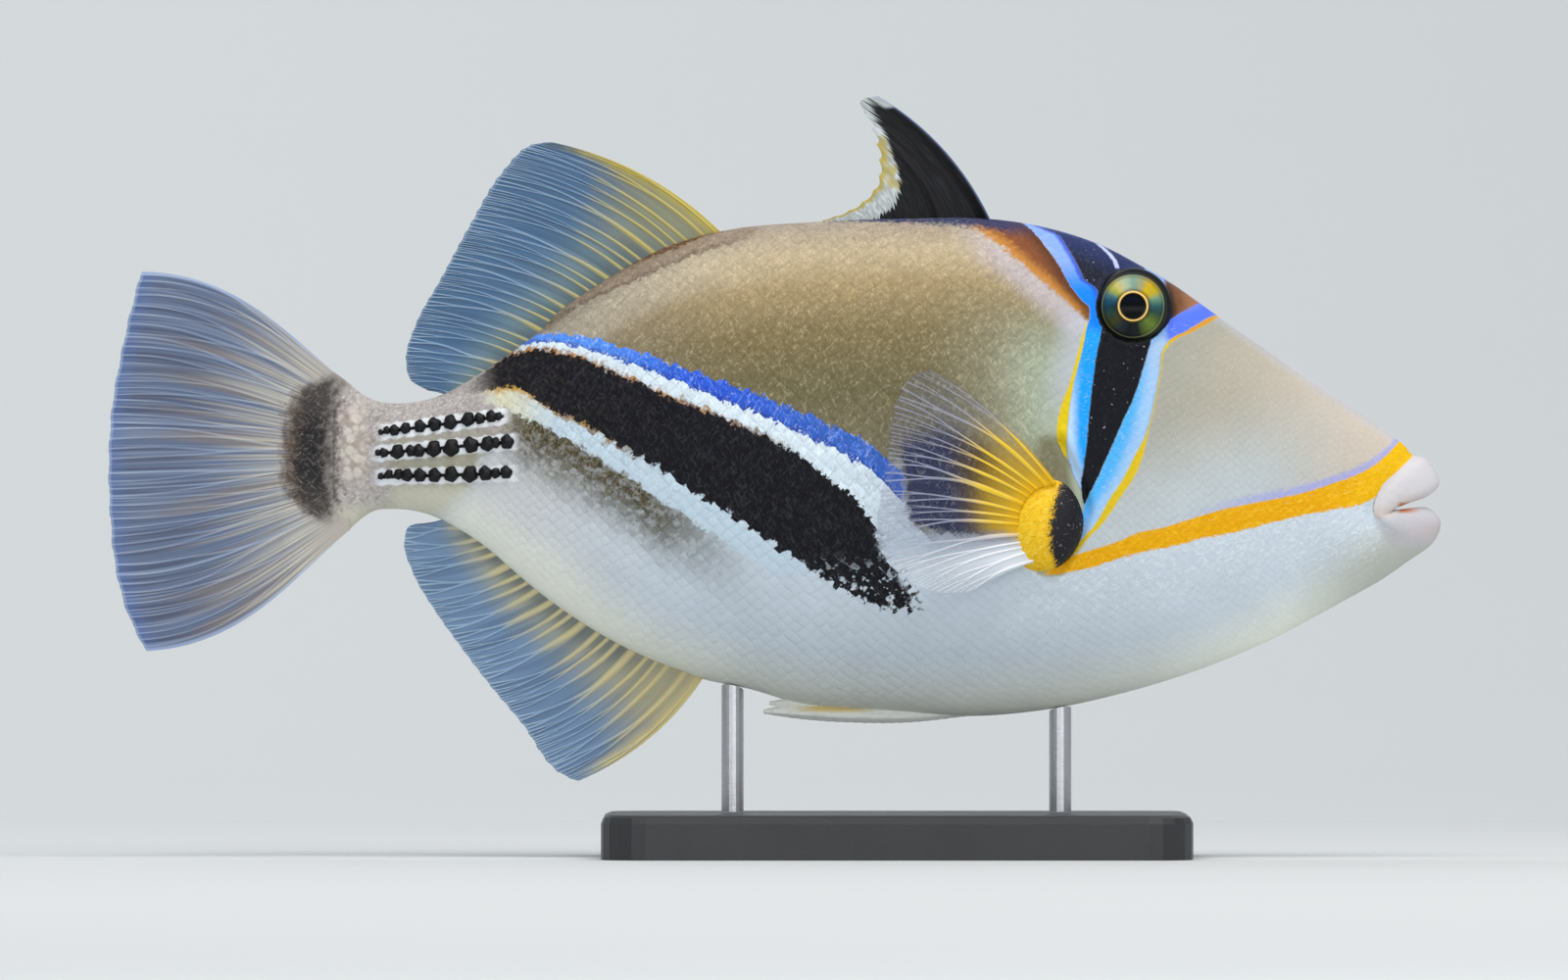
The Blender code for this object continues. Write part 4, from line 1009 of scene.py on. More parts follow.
def makeSkinPaint(name, onScales):
    material, shader, wire = newPaint(name)
    surface = surfacePlace(wire)
    place = surface
    if onScales:
        # a scale's colour is read between its root and the surface; on the head at the surface alone
        root = readAttribute(wire, "root", "Vector").vector("MULTIPLY", (1000.0, 1000.0, 1000.0))
        share = surface.part(0).fall(42.0, 46.0) * 0.45
        place = wire.node("ShaderNodeMix", {"data_type": "VECTOR"}, {0: share, 4: surface, 5: root}, 1)
    colour, rough, fine = bodyPaint(wire, place, surface)
    connect(shader, {
        "Base Color": colour, "Roughness": rough, "Normal": relief(fine, 0.4, 0.08),
        "Specular IOR Level": 0.13})
    return material


# scales

scales = {
    "steps": [
        (-79.4, 0.8), (-58.0, 0.85), (-42.0, 1.1), (50.0, 1.1), (66.0, 0.95), (92.0, 0.78), (106.5, 0.7)],
    "tall": 1.8,  # of a scale, for each step along the body
    "slack": 1.04,  # of a scale's size over its step
    "sides": 12,
    "rings": [(1.0, -0.12, 1.0), (0.9, -0.005, 0.8), (0.58, 0.05, 0.0)],  # share of the size, lift and rim
    "top": (-0.1, 0.075),  # place along the scale, and lift
    "deep": -1.0,  # the bottom's lift, well under the skin
    # distance from the middle, from and to along the body, and whether on the back
    "bare": [(1.5, -80, -9, True), (1.5, -80, -12, False), (1.3, 9, 39, True), (1.6, 1, 40, False)],
    "clear": 1.7,  # distance from the eye and the gill slit
    "clearNostril": 1.2,
    "behindRing": 5.9,  # of the mouth
    "first": 106.5,  # the foremost ring of scales
    "patch": 0.003,  # of a scale on the map for baking
    "sizes": (0.92, 1.12),
    "seed": 11,
}
scaleStep = smoothLine(scales["steps"])


def makePlate(name, points, faces):
    # a shape kept out of the scene, to be copied onto points
    mesh = bpy.data.meshes.new(name)
    mesh.from_pydata([tuple(0.001 * v for v in p) for p in points], [], faces)
    mesh.shade_smooth()
    return bpy.data.objects.new(name, mesh)


def scalePlate():
    # one low rounded scale, a step long: x towards the head, y up the flank; lift is its height over the skin
    sides = scales["sides"]
    points, rims, lifts, faces = [], [], [], []
    for share, lift, rim in scales["rings"]:
        for step in range(sides):
            turn = 2 * math.pi * step / sides
            # a diamond with rounded corners
            reach = share * scales["slack"] / (abs(math.cos(turn)) + abs(math.sin(turn))) ** 0.8
            points.append((reach * math.cos(turn), reach * scales["tall"] / 2 * math.sin(turn), 0.0))
            rims.append(rim)
            lifts.append(lift)
    for x, lift in (scales["top"], (0.0, scales["deep"])):
        points.append((x, 0.0, 0.0))
        rims.append(0.0)
        lifts.append(lift)
    for step in range(sides):
        a, b = step, (step + 1) % sides
        for ring in (0, sides):
            faces.append((a + ring, b + ring, b + ring + sides, a + ring + sides))
        faces.append((a + 2 * sides, b + 2 * sides, 3 * sides))
        faces.append((b, a, 3 * sides + 1))
    plate = makePlate("scalePlate", points, faces)
    writeAttribute(plate, "rim", "FLOAT", rims)
    writeAttribute(plate, "lift", "FLOAT", lifts)
    return plate, np.array(points)


def growTree(draped):
    # sets a copy of a plate on every point, turned and sized by the point's own attributes, and
    # drapes the copies over the skin where asked
    tree = bpy.data.node_groups.new("growDraped" if draped else "growOnPoints", "GeometryNodeTree")
    for name, kind in (
        ("Geometry", "NodeSocketGeometry"), ("Plate", "NodeSocketObject"), ("Skin", "NodeSocketObject"),
        ("Paint", "NodeSocketMaterial"), ("Least size", "NodeSocketFloat"), ("Most size", "NodeSocketFloat"),
        ("Seed", "NodeSocketInt"),
    ):
        tree.interface.new_socket(name, in_out="INPUT", socket_type=kind)
    tree.interface.new_socket("Geometry", in_out="OUTPUT", socket_type="NodeSocketGeometry")
    wire = Wire(tree)
    given = {socket.name: Wire(tree, socket) for socket in tree.nodes.new("NodeGroupInput").outputs}

    def named(name, kind):
        return wire.node("GeometryNodeInputNamedAttribute", {"data_type": kind}, {"Name": name})

    plate = wire.node("GeometryNodeObjectInfo", None, {"Object": given["Plate"]}, "Geometry")
    turn = wire.node("FunctionNodeEulerToRotation", None, {0: named("turn", "FLOAT_VECTOR")})
    vary = wire.node("FunctionNodeRandomValue", {"data_type": "FLOAT"}, {
        2: given["Least size"], 3: given["Most size"], "Seed": given["Seed"]}, 1)
    grown = wire.node("GeometryNodeInstanceOnPoints", None, {
        "Points": given["Geometry"], "Instance": plate, "Rotation": turn,
        "Scale": named("size", "FLOAT_VECTOR").shade(vary)})
    grown = wire.node("GeometryNodeRealizeInstances", None, {0: grown})
    if draped:
        skin = wire.node("GeometryNodeObjectInfo", None, {"Object": given["Skin"]}, "Geometry")
        nearest = wire.node("GeometryNodeProximity", None, {0: skin}, "Position")
        lift = named("outward", "FLOAT_VECTOR").shade(named("lift", "FLOAT"))
        grown = wire.node("GeometryNodeSetPosition", None, {
            "Geometry": grown, "Position": nearest.vector("ADD", lift)})
    grown = wire.node("GeometryNodeSetMaterial", None, {"Geometry": grown, "Material": given["Paint"]})
    tree.links.new(grown.socket, tree.nodes.new("NodeGroupOutput").inputs[0])
    return tree


def growOn(name, tree, points, attributes, plate, material, sizes, seed, skin=None):
    # a plain mesh of plates grown on the points
    mesh = bpy.data.meshes.new(name)
    mesh.from_pydata(toMetres(points).tolist(), [], [])
    holder = bpy.data.objects.new(name, mesh)
    bpy.context.scene.collection.objects.link(holder)
    for key, (kind, values) in attributes.items():
        writeAttribute(holder, key, kind, values)
    modifier = holder.modifiers.new("grow", "NODES")
    modifier.node_group = tree
    names = {item.name: item.identifier for item in tree.interface.items_tree if item.in_out == "INPUT"}
    for key, value in (
        ("Plate", plate), ("Skin", skin), ("Paint", material), ("Least size", sizes[0]),
        ("Most size", sizes[1]), ("Seed", seed),
    ):
        modifier[names[key]] = value
    graph = bpy.context.evaluated_depsgraph_get()
    grown = bpy.data.meshes.new_from_object(holder.evaluated_get(graph))
    holder.modifiers.clear()
    holder.data = grown
    grown.name = name
    return holder


def turnsFrom(forward, outward):
    # angles that turn x to forward and z to outward
    outward = outward / np.linalg.norm(outward, axis=1, keepdims=True)
    forward = forward - outward * np.sum(forward * outward, axis=1, keepdims=True)
    forward /= np.linalg.norm(forward, axis=1, keepdims=True)
    up = np.cross(outward, forward)
    aboutY = -np.arcsin(np.clip(forward[:, 2], -1, 1))
    aboutX = np.arctan2(up[:, 2], outward[:, 2])
    aboutZ = np.arctan2(forward[:, 1], forward[:, 0])
    return np.column_stack([aboutX, aboutY, aboutZ])


def readGrid(field, row, share):
    # a field of the body grid at fractional rows and shares round it
    last = field.shape[1] - 1
    column = np.clip(share * last, 0, last - 1e-6)
    i, j = np.minimum(row.astype(int), field.shape[0] - 2), column.astype(int)
    fi, fj = (row - i)[:, None], (column - j)[:, None]
    near = field[i, j] * (1 - fj) + field[i, j + 1] * fj
    far = field[i + 1, j] * (1 - fj) + field[i + 1, j + 1] * fj
    return near * (1 - fi) + far * fi


def scaleRoots(skin):
    # where scales grow on the left side: rows of the grid and shares from back to belly
    grid, lengths, sideShare = skin["grid"], skin["lengths"], skin["sideShare"]
    rings = np.arange(len(lengths))
    sideX = readGrid(grid, rings.astype(float), sideShare)[:, 0]
    x, even = scales["first"], False
    rows, shares, steps = [], [], []
    while x > body["end"] + 1.2:
        row, step = np.interp(-x, -sideX, rings), float(scaleStep(x))
        middle = np.interp(row, rings, sideShare)
        tall = scales["tall"] * step / np.interp(row, rings, lengths)
        first, last = -int(middle / tall), int((1 - middle) / tall)
        places = middle + (np.arange(first, last + 1) + 0.5 * even) * tall
        places = places[(places > 0.004) & (places < 0.996)]
        rows.append(np.full(len(places), row))
        shares.append(places)
        steps.append(np.full(len(places), step))
        x, even = x - step, not even
    rows, shares, steps = np.concatenate(rows), np.concatenate(shares), np.concatenate(steps)
    draw = np.random.default_rng(scales["seed"])
    rows = np.clip(rows + draw.uniform(-0.35, 0.35, len(rows)), 0, len(lengths) - 1.001)
    tall = scales["tall"] * steps / np.interp(rows, rings, lengths)
    shares = shares + draw.uniform(-0.11, 0.11, len(rows)) * tall
    places = readGrid(grid, rows, shares)
    x, y, z = places.T
    keep = np.hypot(x - eyes["centre"][0], z - eyes["centre"][1]) > eyes["rim"] + scales["clear"]
    keep &= awayFrom(body["gillSlit"], x, z) > scales["clear"]
    keep &= rows > scales["behindRing"] * body["mouthSteps"]
    for spot in body["nostrils"]:
        keep &= np.hypot(x - spot[0], z - spot[1]) > scales["clearNostril"]
    # none under the roots of the fins on the back and belly
    for wide, rear, front, upper in scales["bare"]:
        keep &= ~((y < wide) & (x > rear) & (x < front) & ((z > widestAt(x)) == upper))
    return rows[keep], shares[keep], steps[keep], draw


def makeScales(skin, skinPiece, tree, material):
    rows, shares, steps, draw = scaleRoots(skin)
    places = readGrid(skin["grid"], rows, shares)
    outward = readGrid(skin["normals"], rows, shares)
    ahead = readGrid(skin["grid"], np.maximum(rows - 1, 0), shares) - readGrid(skin["grid"], rows, shares)
    tones = draw.random(len(rows))
    x, z = places[:, 0], places[:, 2]
    # plates are flattest on the face and thin out towards the lips
    high = (0.66 - 0.38 * smoothStep(x, 8.0, 48.0)) * draw.uniform(0.7, 1.15, len(x))
    high = high * (1 - 0.35 * smoothStep(-z, 0.0, 16.0)) * (1 - 0.5 * smoothStep(-x, 44.0, 56.0))
    forward = ahead / np.linalg.norm(ahead, axis=1, keepdims=True)
    aside = np.cross(outward, forward) * draw.uniform(-0.3, 0.3, len(x))[:, None]
    ahead = forward + aside
    sizes = np.column_stack([steps, steps, steps])
    plate, template = scalePlate()
    rings = len(skin["lengths"])
    total = 0
    for side, label in ((-1, "Right"), (1, "Left")):
        mirror = np.array([1.0, side, 1.0])
        points, out, forward = places * mirror, outward * mirror, ahead * mirror
        turns = turnsFrom(forward, out)
        for part, inside in (
            ("Face", x > 58), ("Front", (x <= 58) & (x > 30)), ("Middle", (x <= 30) & (x > 2)),
            ("Rear", x <= 2),
        ):
            name = "scales" + label + part
            piece = growOn(name, tree, points[inside], {
                "turn": ("FLOAT_VECTOR", turns[inside]), "size": ("FLOAT_VECTOR", sizes[inside]),
                "outward": ("FLOAT_VECTOR", 0.001 * high[inside, None] * out[inside]),
                "tone": ("FLOAT", tones[inside]), "root": ("FLOAT_VECTOR", toMetres(points[inside])),
            }, plate, material, scales["sizes"], scales["seed"], skinPiece)
            # each scale is a small patch at its root's place on the unrolled skin
            around = shares[inside] * 0.5 + (0.5 if side > 0 else 0.0)
            roots = np.column_stack([0.01 + 0.98 * rows[inside] / rings, 0.005 + 0.99 * around])
            local = template[:, :2] / 2.2 * scales["patch"]
            spots = (roots[:, None, :] + local[None, :, :]).reshape(-1, 2)
            corners = np.empty(len(piece.data.loops), np.int32)
            piece.data.loops.foreach_get("vertex_index", corners)
            layer = piece.data.uv_layers.new(name="OFBake")
            layer.data.foreach_set("uv", spots[corners].astype(np.float32).ravel())
            finishPiece(piece, None, "head_skin" if part == "Face" else "torso_skin")
            total += int(inside.sum())
    bpy.data.objects.remove(plate)
    print("scales:", total)


# eyes

def makeEyePaint():
    material, shader, wire = newPaint("eyePaint")
    disc = readAttribute(wire, "disc", "Vector")  # x towards the snout and z up, in dots
    along, up = disc.part(0), disc.part(2)
    away = (along * along + up * up).math("SQRT")
    turn = up.math("ARCTAN2", along) * (1 / (2 * math.pi)) + 0.5
    # the iris colours round the pupil; the pale green-white near the top of the ring is partly a painted
    # highlight
    wheel = turn.ramp(
        (0.0, "214556"), (0.055, "33503C"), (0.11, "4C4C26"), (0.16, "30393E"), (0.22, "1A2028"),
        (0.285, "222626"), (0.31, "526430"), (0.37, "76903E"), (0.42, "587036"), (0.46, "305046"),
        (0.50, "37646A"), (0.55, "74A082"), (0.595, "D2B822"), (0.65, "DEB812"), (0.69, "A8A670"),
        (0.75, "82AC9A"), (0.815, "C6CFA8"), (0.85, "DCD078"), (0.89, "B4B850"), (0.93, "4A7C84"),
        (0.965, "265670"), (1.0, "214556"))
    streaks = disc.vector("MULTIPLY", (0.06, 0.06, 0.06)).grain(0.35, 3.0, 0.6, 0.4)
    colour = wheel.shade(streaks * 0.5 + 0.58)
    colour = colour.over(
        (away.fall(16.0, 20.5) * 0.6, "26261A"),
        (away.rise(27.5, 32.0) * 0.55, "262A26"),
        (away.within(31.0, 31.7, 0.5) * 0.6, "A9A66A"),
        (away.rise(32.6, 33.6), "14161A"),
        (away.within(34.6, 35.1, 0.5) * 0.6, "5C5E52"),
        (away.rise(35.8, 36.6), "0F1013"),
        (away.within(13.6, 15.6, 0.7), "E9AE3A"),
        # a brighter line along the middle of the gold ring: painted highlight on its raised rim
        (away.within(14.3, 15.0, 0.4) * 0.9, "FFF0B0"),
        (away.fall(12.8, 13.8), "020305"),
        # a dark blue tint in the pupil's upper part: painted reflection
        (away.fall(8.0, 12.0) * up.rise(1.0, 9.0) * 0.3, "0C1E3C"))
    connect(shader, {
        "Base Color": colour, "Roughness": 0.4, "Specular IOR Level": 0.05, "Coat Weight": 0.22,
        "Coat Roughness": 0.12, "Coat IOR": 1.35})
    return material


def roundForm(wide, tall, deep, rings):
    # places on an ellipsoid, in rings from the pole that faces outwards to the inner one, without the poles
    turns = np.linspace(0, 2 * np.pi, 96, endpoint=False)
    lifts = np.linspace(0, np.pi, rings + 1)[1:-1, None]
    along = np.sin(lifts) * np.cos(turns) * wide / 2
    up = np.sin(lifts) * np.sin(turns) * tall / 2
    return np.stack([along, np.cos(lifts) * deep + 0 * turns, up], axis=-1)


def seatForm(name, form, deep, turn, side, centre, raised, material, slot, nodes=()):
    # closes a round form, turns two of its axes and seats it on one flank, raised over the skin
    local, faces = closeRings(form, [(0.0, deep, 0.0), (0.0, -deep, 0.0)])
    first, second, angle = turn
    across, along = math.cos(math.radians(angle)), math.sin(math.radians(angle))
    points = local.copy()
    points[:, first] = local[:, first] * across - local[:, second] * along
    points[:, second] = local[:, second] * across + local[:, first] * along
    x, z = centre
    out = float(flankAt(np.array(x), np.array(z))) + raised
    points = points * np.array([1.0, side, 1.0]) + np.array([x, side * out, z])
    return makePiece(name, points, faces, material, slot, nodes), local


def makeEye(label, side, material):
    half = eyes["thickness"] / 2
    form = roundForm(eyes["diameter"], eyes["diameter"], half, eyes["rings"])
    dots = np.hypot(form[..., 0], form[..., 2]) / picture["dot"]
    # the pupil's rim stands a little proud of the iris
    proud = 0.10 * hump(dots, 14.8, 1.6) - 0.12 * hump(dots, 23.0, 5.0)
    form[..., 1] += np.where(form[..., 1] > 0, proud, 0.0)
    piece, local = seatForm(
        "eye" + label, form, half, (1, 2, eyes["tilt"]), side, eyes["centre"], eyes["standsOut"] - half,
        material, "eyes", ["eye_" + label.lower()])
    writeAttribute(piece, "disc", "FLOAT_VECTOR", local / picture["dot"])


# fins

softDorsal = {
    "root": [(-8.6, 48.4), (-19.6, 44.8), (-35.8, 35.0), (-51.2, 23.0), (-56.0, 18.9)],
    "edge": [(-40.4, 65.7), (-43.9, 65.2), (-49.4, 60.0), (-54.7, 51.2), (-60.2, 41.0), (-64.6, 33.0),
             (-66.4, 26.5), (-65.6, 22.9), (-62.4, 20.9)],
    "bows": (2.8, 0.3), "late": 1.0, "rays": 25, "thick": (2.0, 0.34), "ridge": 0.2, "forks": (0.36, 0.66),
    "wide": (0.1, 0.065, 0.045), "columns": 24, "rows": 56, "ripple": 0.25,
    "scallop": 0.008, "uneven": 0.22, "seed": 3,
}
anal = {
    "root": [(-12.0, -29.6), (-26.8, -24.0), (-42.2, -14.2), (-53.8, -4.2), (-57.4, -1.2)],
    "edge": [(-35.6, -49.5), (-38.6, -48.1), (-45.7, -38.9), (-51.2, -32.3), (-56.6, -25.2), (-61.1, -18.9),
             (-65.2, -11.8), (-66.7, -6.6), (-65.9, -3.6), (-62.6, -2.9)],
    "bows": (-2.5, -0.3), "late": 1.0, "rays": 22, "thick": (2.0, 0.34), "ridge": 0.2, "forks": (0.4, 0.68),
    "wide": (0.13, 0.08, 0.05), "columns": 24, "rows": 56, "ripple": 0.25,
    "scallop": 0.008, "uneven": 0.2, "seed": 4,
}
caudal = {
    "root": [(-76.4, 22.0), (-76.4, 15.0), (-76.4, 3.0), (-76.4, -4.2)],
    "edge": [(-114.2, 42.3), (-116.5, 33.5), (-118.0, 26.5), (-119.3, 19.0), (-120.0, 9.0), (-119.8, -1.0),
             (-118.9, -10.5), (-116.9, -18.5), (-113.4, -26.0)],
    "bows": (4.3, -4.3), "late": 1.35, "rays": 12, "thick": (3.0, 0.34), "ridge": 0.09, "forks": (0.2, 0.46),
    "wide": (0.13, 0.062, 0.036), "columns": 40, "rows": 70, "ripple": 0.3,
    "scallop": 0.006, "uneven": 0.12, "seed": 5,
}
pectoral = {
    "root": [(50.6, 4.2), (46.8, 3.0), (44.4, 0.2), (43.7, -3.4), (44.5, -7.0), (47.0, -9.8)],
    "edge": [(27.6, 24.8), (24.0, 23.2), (21.6, 18.6), (20.5, 12.9), (20.0, 7.6), (18.9, 2.0), (18.2, -3.8),
             (20.0, -9.4), (23.6, -13.2), (28.8, -15.4), (35.0, -15.4)],
    "bows": (1.9, 0.5), "late": 1.0, "rays": 14, "thick": (0.95, 0.3), "ridge": 0.2, "forks": (0.36, 0.64),
    "wide": (0.18, 0.07, 0.036), "columns": 26, "rows": 60, "spread": 0.27, "curl": 0.0026, "scallop": 0.012,
    "uneven": 0.22, "seed": 6,
}
lobe = {"centre": (48.3, -3.1), "size": (14.3, 17.2), "high": 2.6, "tilt": 11.0, "sunk": 1.4, "rings": 60}


def bentRay(start, end, bow, share, late=1.0):
    # a place on a ray that bends sideways by bow, at its middle or, above 1, later
    run = end - start
    length = np.linalg.norm(run, axis=-1, keepdims=True)
    aside = np.stack([run[..., 1], -run[..., 0]], axis=-1) / length
    bent = share ** late
    return start + run * share[..., None] + aside * (bow * 4 * bent * (1 - bent))[..., None]


def rayHeight(fin, u, v):
    # how high the rays stand over the membrane, 0 to 1: each ray forks twice on its way out
    draw = np.random.default_rng(fin["seed"])
    wander = draw.uniform(-0.08, 0.08, (2, fin["rays"]))
    place = u * fin["rays"] + fin["uneven"] * np.sin(1.7 * u * fin["rays"])
    place = np.clip(place, 0.0, fin["rays"] - 1e-6)
    which = np.minimum(place.astype(int), fin["rays"] - 1)
    spot = place - which + 0.09 * np.sin(which * 2.4 + 3.0 * v) * np.minimum(1.0, 3 * v)
    first, second = fin["forks"][0] + wander[0][which], fin["forks"][1] + wander[1][which]
    apart = 0.25 * smoothStep(v, first - 0.08, first + 0.46)
    apart2 = 0.125 * smoothStep(v, second - 0.06, second + 0.36)
    plain, forked, twice = fin["wide"]
    wide = plain + (forked - plain) * smoothStep(v, first - 0.1, first + 0.1)
    wide = wide + (twice - forked) * smoothStep(v, second - 0.1, second + 0.1)
    high = np.zeros_like(u)
    for side in (-1, 1):
        for side2 in (-1, 1):
            high = np.maximum(high, hump(spot, 0.5 + side * apart + side2 * apart2, wide))
    return high


def sheetPiece(name, front, back, extra, material, slot, nodes):
    # a thin closed sheet from the grids of its two faces
    columns, rows = front.shape[:2]
    index = np.arange(columns * rows).reshape(columns, rows)
    far = index + columns * rows
    faces = [
        np.stack([index[:-1, :-1], index[1:, :-1], index[1:, 1:], index[:-1, 1:]], -1),
        np.stack([far[:-1, :-1], far[:-1, 1:], far[1:, 1:], far[1:, :-1]], -1),
        np.stack([index[:-1, 0], far[:-1, 0], far[1:, 0], index[1:, 0]], -1),
        np.stack([index[:-1, -1], index[1:, -1], far[1:, -1], far[:-1, -1]], -1),
        np.stack([index[0, :-1], index[0, 1:], far[0, 1:], far[0, :-1]], -1),
        np.stack([index[-1, :-1], far[-1, :-1], far[-1, 1:], index[-1, 1:]], -1),
    ]
    faces = np.vstack([f.reshape(-1, 4) for f in faces])
    points = np.vstack([front.reshape(-1, 3), back.reshape(-1, 3)])
    piece = makePiece(name, points, faces, material, slot, nodes)
    for key, values in extra.items():
        kind = "FLOAT_VECTOR" if values.ndim == 3 else "FLOAT"
        flat = values.reshape(-1, values.shape[-1]) if values.ndim == 3 else values.ravel()
        writeAttribute(piece, key, kind, np.concatenate([flat, flat]))
    print(name + ":", len(faces) * 2, "triangles")


def unitGrid(columns, rows):
    return np.meshgrid(np.linspace(0, 1, columns + 1), np.linspace(0, 1, rows + 1), indexing="ij")


def finGrid(fin):
    u, v = unitGrid(fin["rays"] * fin["columns"], fin["rows"])
    high = rayHeight(fin, u, v)
    # the membrane draws back a little between the tips of the rays
    between = np.abs(np.cos(np.pi * u * fin["rays"])) + 0.35 * np.abs(np.cos(4 * np.pi * u * fin["rays"]))
    reach = 1 - fin["scallop"] * between * smoothStep(v, 0.85, 1.0)
    return u, v, high, v * reach


def makeMedianFin(name, fin, material, slot, node):
    u, v, high, share = finGrid(fin)
    root, edge = smoothPath(fin["root"])(u), smoothPath(fin["edge"])(u)
    bow = fin["bows"][0] * (1 - u) + fin["bows"][1] * u
    flat = bentRay(root, edge, bow, share, fin["late"])
    thick = fin["thick"][0] * (1 - v) ** 1.4 + fin["thick"][1] * (1 - (1 - v) ** 1.4)
    half = thick / 2 + fin["ridge"] * high * np.minimum(1.0, 4 * v)
    sway = fin["ripple"] * np.sin(2 * np.pi * (2.3 * u + 0.7 * v)) * v ** 1.5
    front = np.stack([flat[..., 0], sway - half, flat[..., 1]], axis=-1)
    back = np.stack([flat[..., 0], sway + half, flat[..., 1]], axis=-1)
    places = np.stack([u, v, u * fin["rays"]], axis=-1)
    sheetPiece(name, front, back, {"ray": high, "finPlace": places}, material, slot, [node])


def makePectoral(label, side, material):
    fin = pectoral
    u, v, high, share = finGrid(fin)

    def middle(u, share):
        start = smoothPath(fin["root"])(u)
        bow = fin["bows"][0] * (1 - u) + fin["bows"][1] * u
        flat = bentRay(start, smoothPath(fin["edge"])(u), bow, share)
        away = np.linalg.norm(flat - start, axis=-1)
        out = flankAt(start[..., 0], start[..., 1]) + 0.9 + fin["spread"] * away - fin["curl"] * away * away
        return np.stack([flat[..., 0], side * out, flat[..., 1]], axis=-1)

    centre = middle(u, share)
    normal = np.cross(np.gradient(centre, axis=0), np.gradient(centre, axis=1))
    normal /= np.maximum(1e-9, np.linalg.norm(normal, axis=-1, keepdims=True))
    half = (fin["thick"][0] * (1 - v) + fin["thick"][1] * v) / 2 + fin["ridge"] * high * (1 - 0.4 * v)
    shift = normal * half[..., None]
    places = np.stack([u, v, u * fin["rays"]], axis=-1)
    sheetPiece("pectoral" + label, centre + shift, centre - shift, {"ray": high, "finPlace": places},
               material, "pectoral_fins", ["pectoral_fin_" + label.lower()])


def makeLobe(label, side, material):
    # the fleshy base of a pectoral fin
    deep = lobe["high"] + lobe["sunk"]
    form = roundForm(*lobe["size"], deep, lobe["rings"])
    along, out, up = form[..., 0], form[..., 1], form[..., 2]
    grains = 0.05 * np.sin(along * 6.3 + np.sin(up * 3.1)) * np.sin(up * 5.7 + np.sin(along * 2.7))
    form[..., 1] += grains * (out > 0)
    seatForm(
        "pectoralLobe" + label, form, deep, (2, 0, lobe["tilt"]), side, lobe["centre"], -lobe["sunk"],
        material, "pectoral_fins")


def finWires(wire):
    # the height of the rays, the places across and along the fin, and the streaks along its rays
    place = readAttribute(wire, "finPlace", "Vector")
    ray, u, v, number = readAttribute(wire, "ray"), place.part(0), place.part(1), place.part(2)

    def streaks(across, along):
        spread = wire.node("ShaderNodeCombineXYZ", None, {"X": number * across, "Y": v * along})
        return spread.grain(1.0, 1.0, 0.5)

    return ray, u, v, streaks


def finishFin(shader, wire, colour, ray, alpha, along):
    fine = surfacePlace(wire).grain(0.5, 2.0)
    joints = (along * 2 * math.pi).math("SINE") * 0.5 + 0.5
    height = ray + joints * ray * 0.25 + fine * 0.2
    connect(shader, {
        "Base Color": colour, "Alpha": alpha, "Roughness": 0.4 + ray * 0.1,
        "Normal": relief(height, 0.4, 0.12), "Specular IOR Level": 0.3})


def makeSoftFinPaint(name, yellowReach, near, outer, gold, gilded):
    material, shader, wire = newPaint(name)
    ray, u, v, streaks = finWires(wire)
    fine, broad = streaks(6.0, 1.2), streaks(1.7, 0.9)
    cloud = surfacePlace(wire).grain(5.0, 2.0)
    skin = wire.paint(near).mix(v.rise(0.15, 0.6), outer)
    skin = skin.over(
        (fine.rise(0.4, 0.75) * 0.3, "7F9DBB"),
        (broad.fall(0.3, 0.6) * 0.42, "2F5074"))
    # yellow wells up beside the ray bases and all through the front of the fin
    reach = u.follow([
        (0.0, 0.85), (0.12, 0.55), (0.3, yellowReach + 0.08), (0.6, yellowReach), (1.0, yellowReach * 0.7)])
    yellow = (v + cloud * 0.3 - 0.15 - reach).fall(-0.3, 0.16)
    bone = ray.rise(0.3, 0.75)
    beside = ray.rise(0.02, 0.2) * ray.fall(0.5, 0.8)
    goldPaint = wire.paint(gold)
    skin = skin.over(
        (yellow * (u.fall(0.05, 0.4) * 0.6 + fine.rise(0.5, 0.7) * 0.3) * gilded, goldPaint.shade(0.8)),
        (yellow * beside * gilded, goldPaint),
        (yellow * (1 - ray.rise(0.0, 0.12)) * u.rise(0.1, 0.3) * v.fall(0.1, 0.3) * 0.5, "3F4A44"))
    lead = (u + cloud * 0.02).fall(0.02, 0.065) * v.fall(0.75, 1.0)
    skin = skin.mix(lead * 0.9, goldPaint.shade(1.05))
    colour = skin.mix(bone * (0.32 + fine * 0.3), "A9C0D6")
    colour = colour.over(
        (bone * yellow * 0.75, goldPaint.shade(1.05)),
        (bone * v.rise(0.78, 1.0) * 0.25, "D4E2EE"),
        (v.rise(0.975, 0.99) * 0.5, "A5C0DA"),
        (v.fall(0.02, 0.07) * 0.8, "9C7038"))
    alpha = 0.8 + bone * 0.2
    finishFin(shader, wire, colour, ray, alpha.most(v.fall(0.0, 0.25)).most(lead), v * 26.0)
    return material


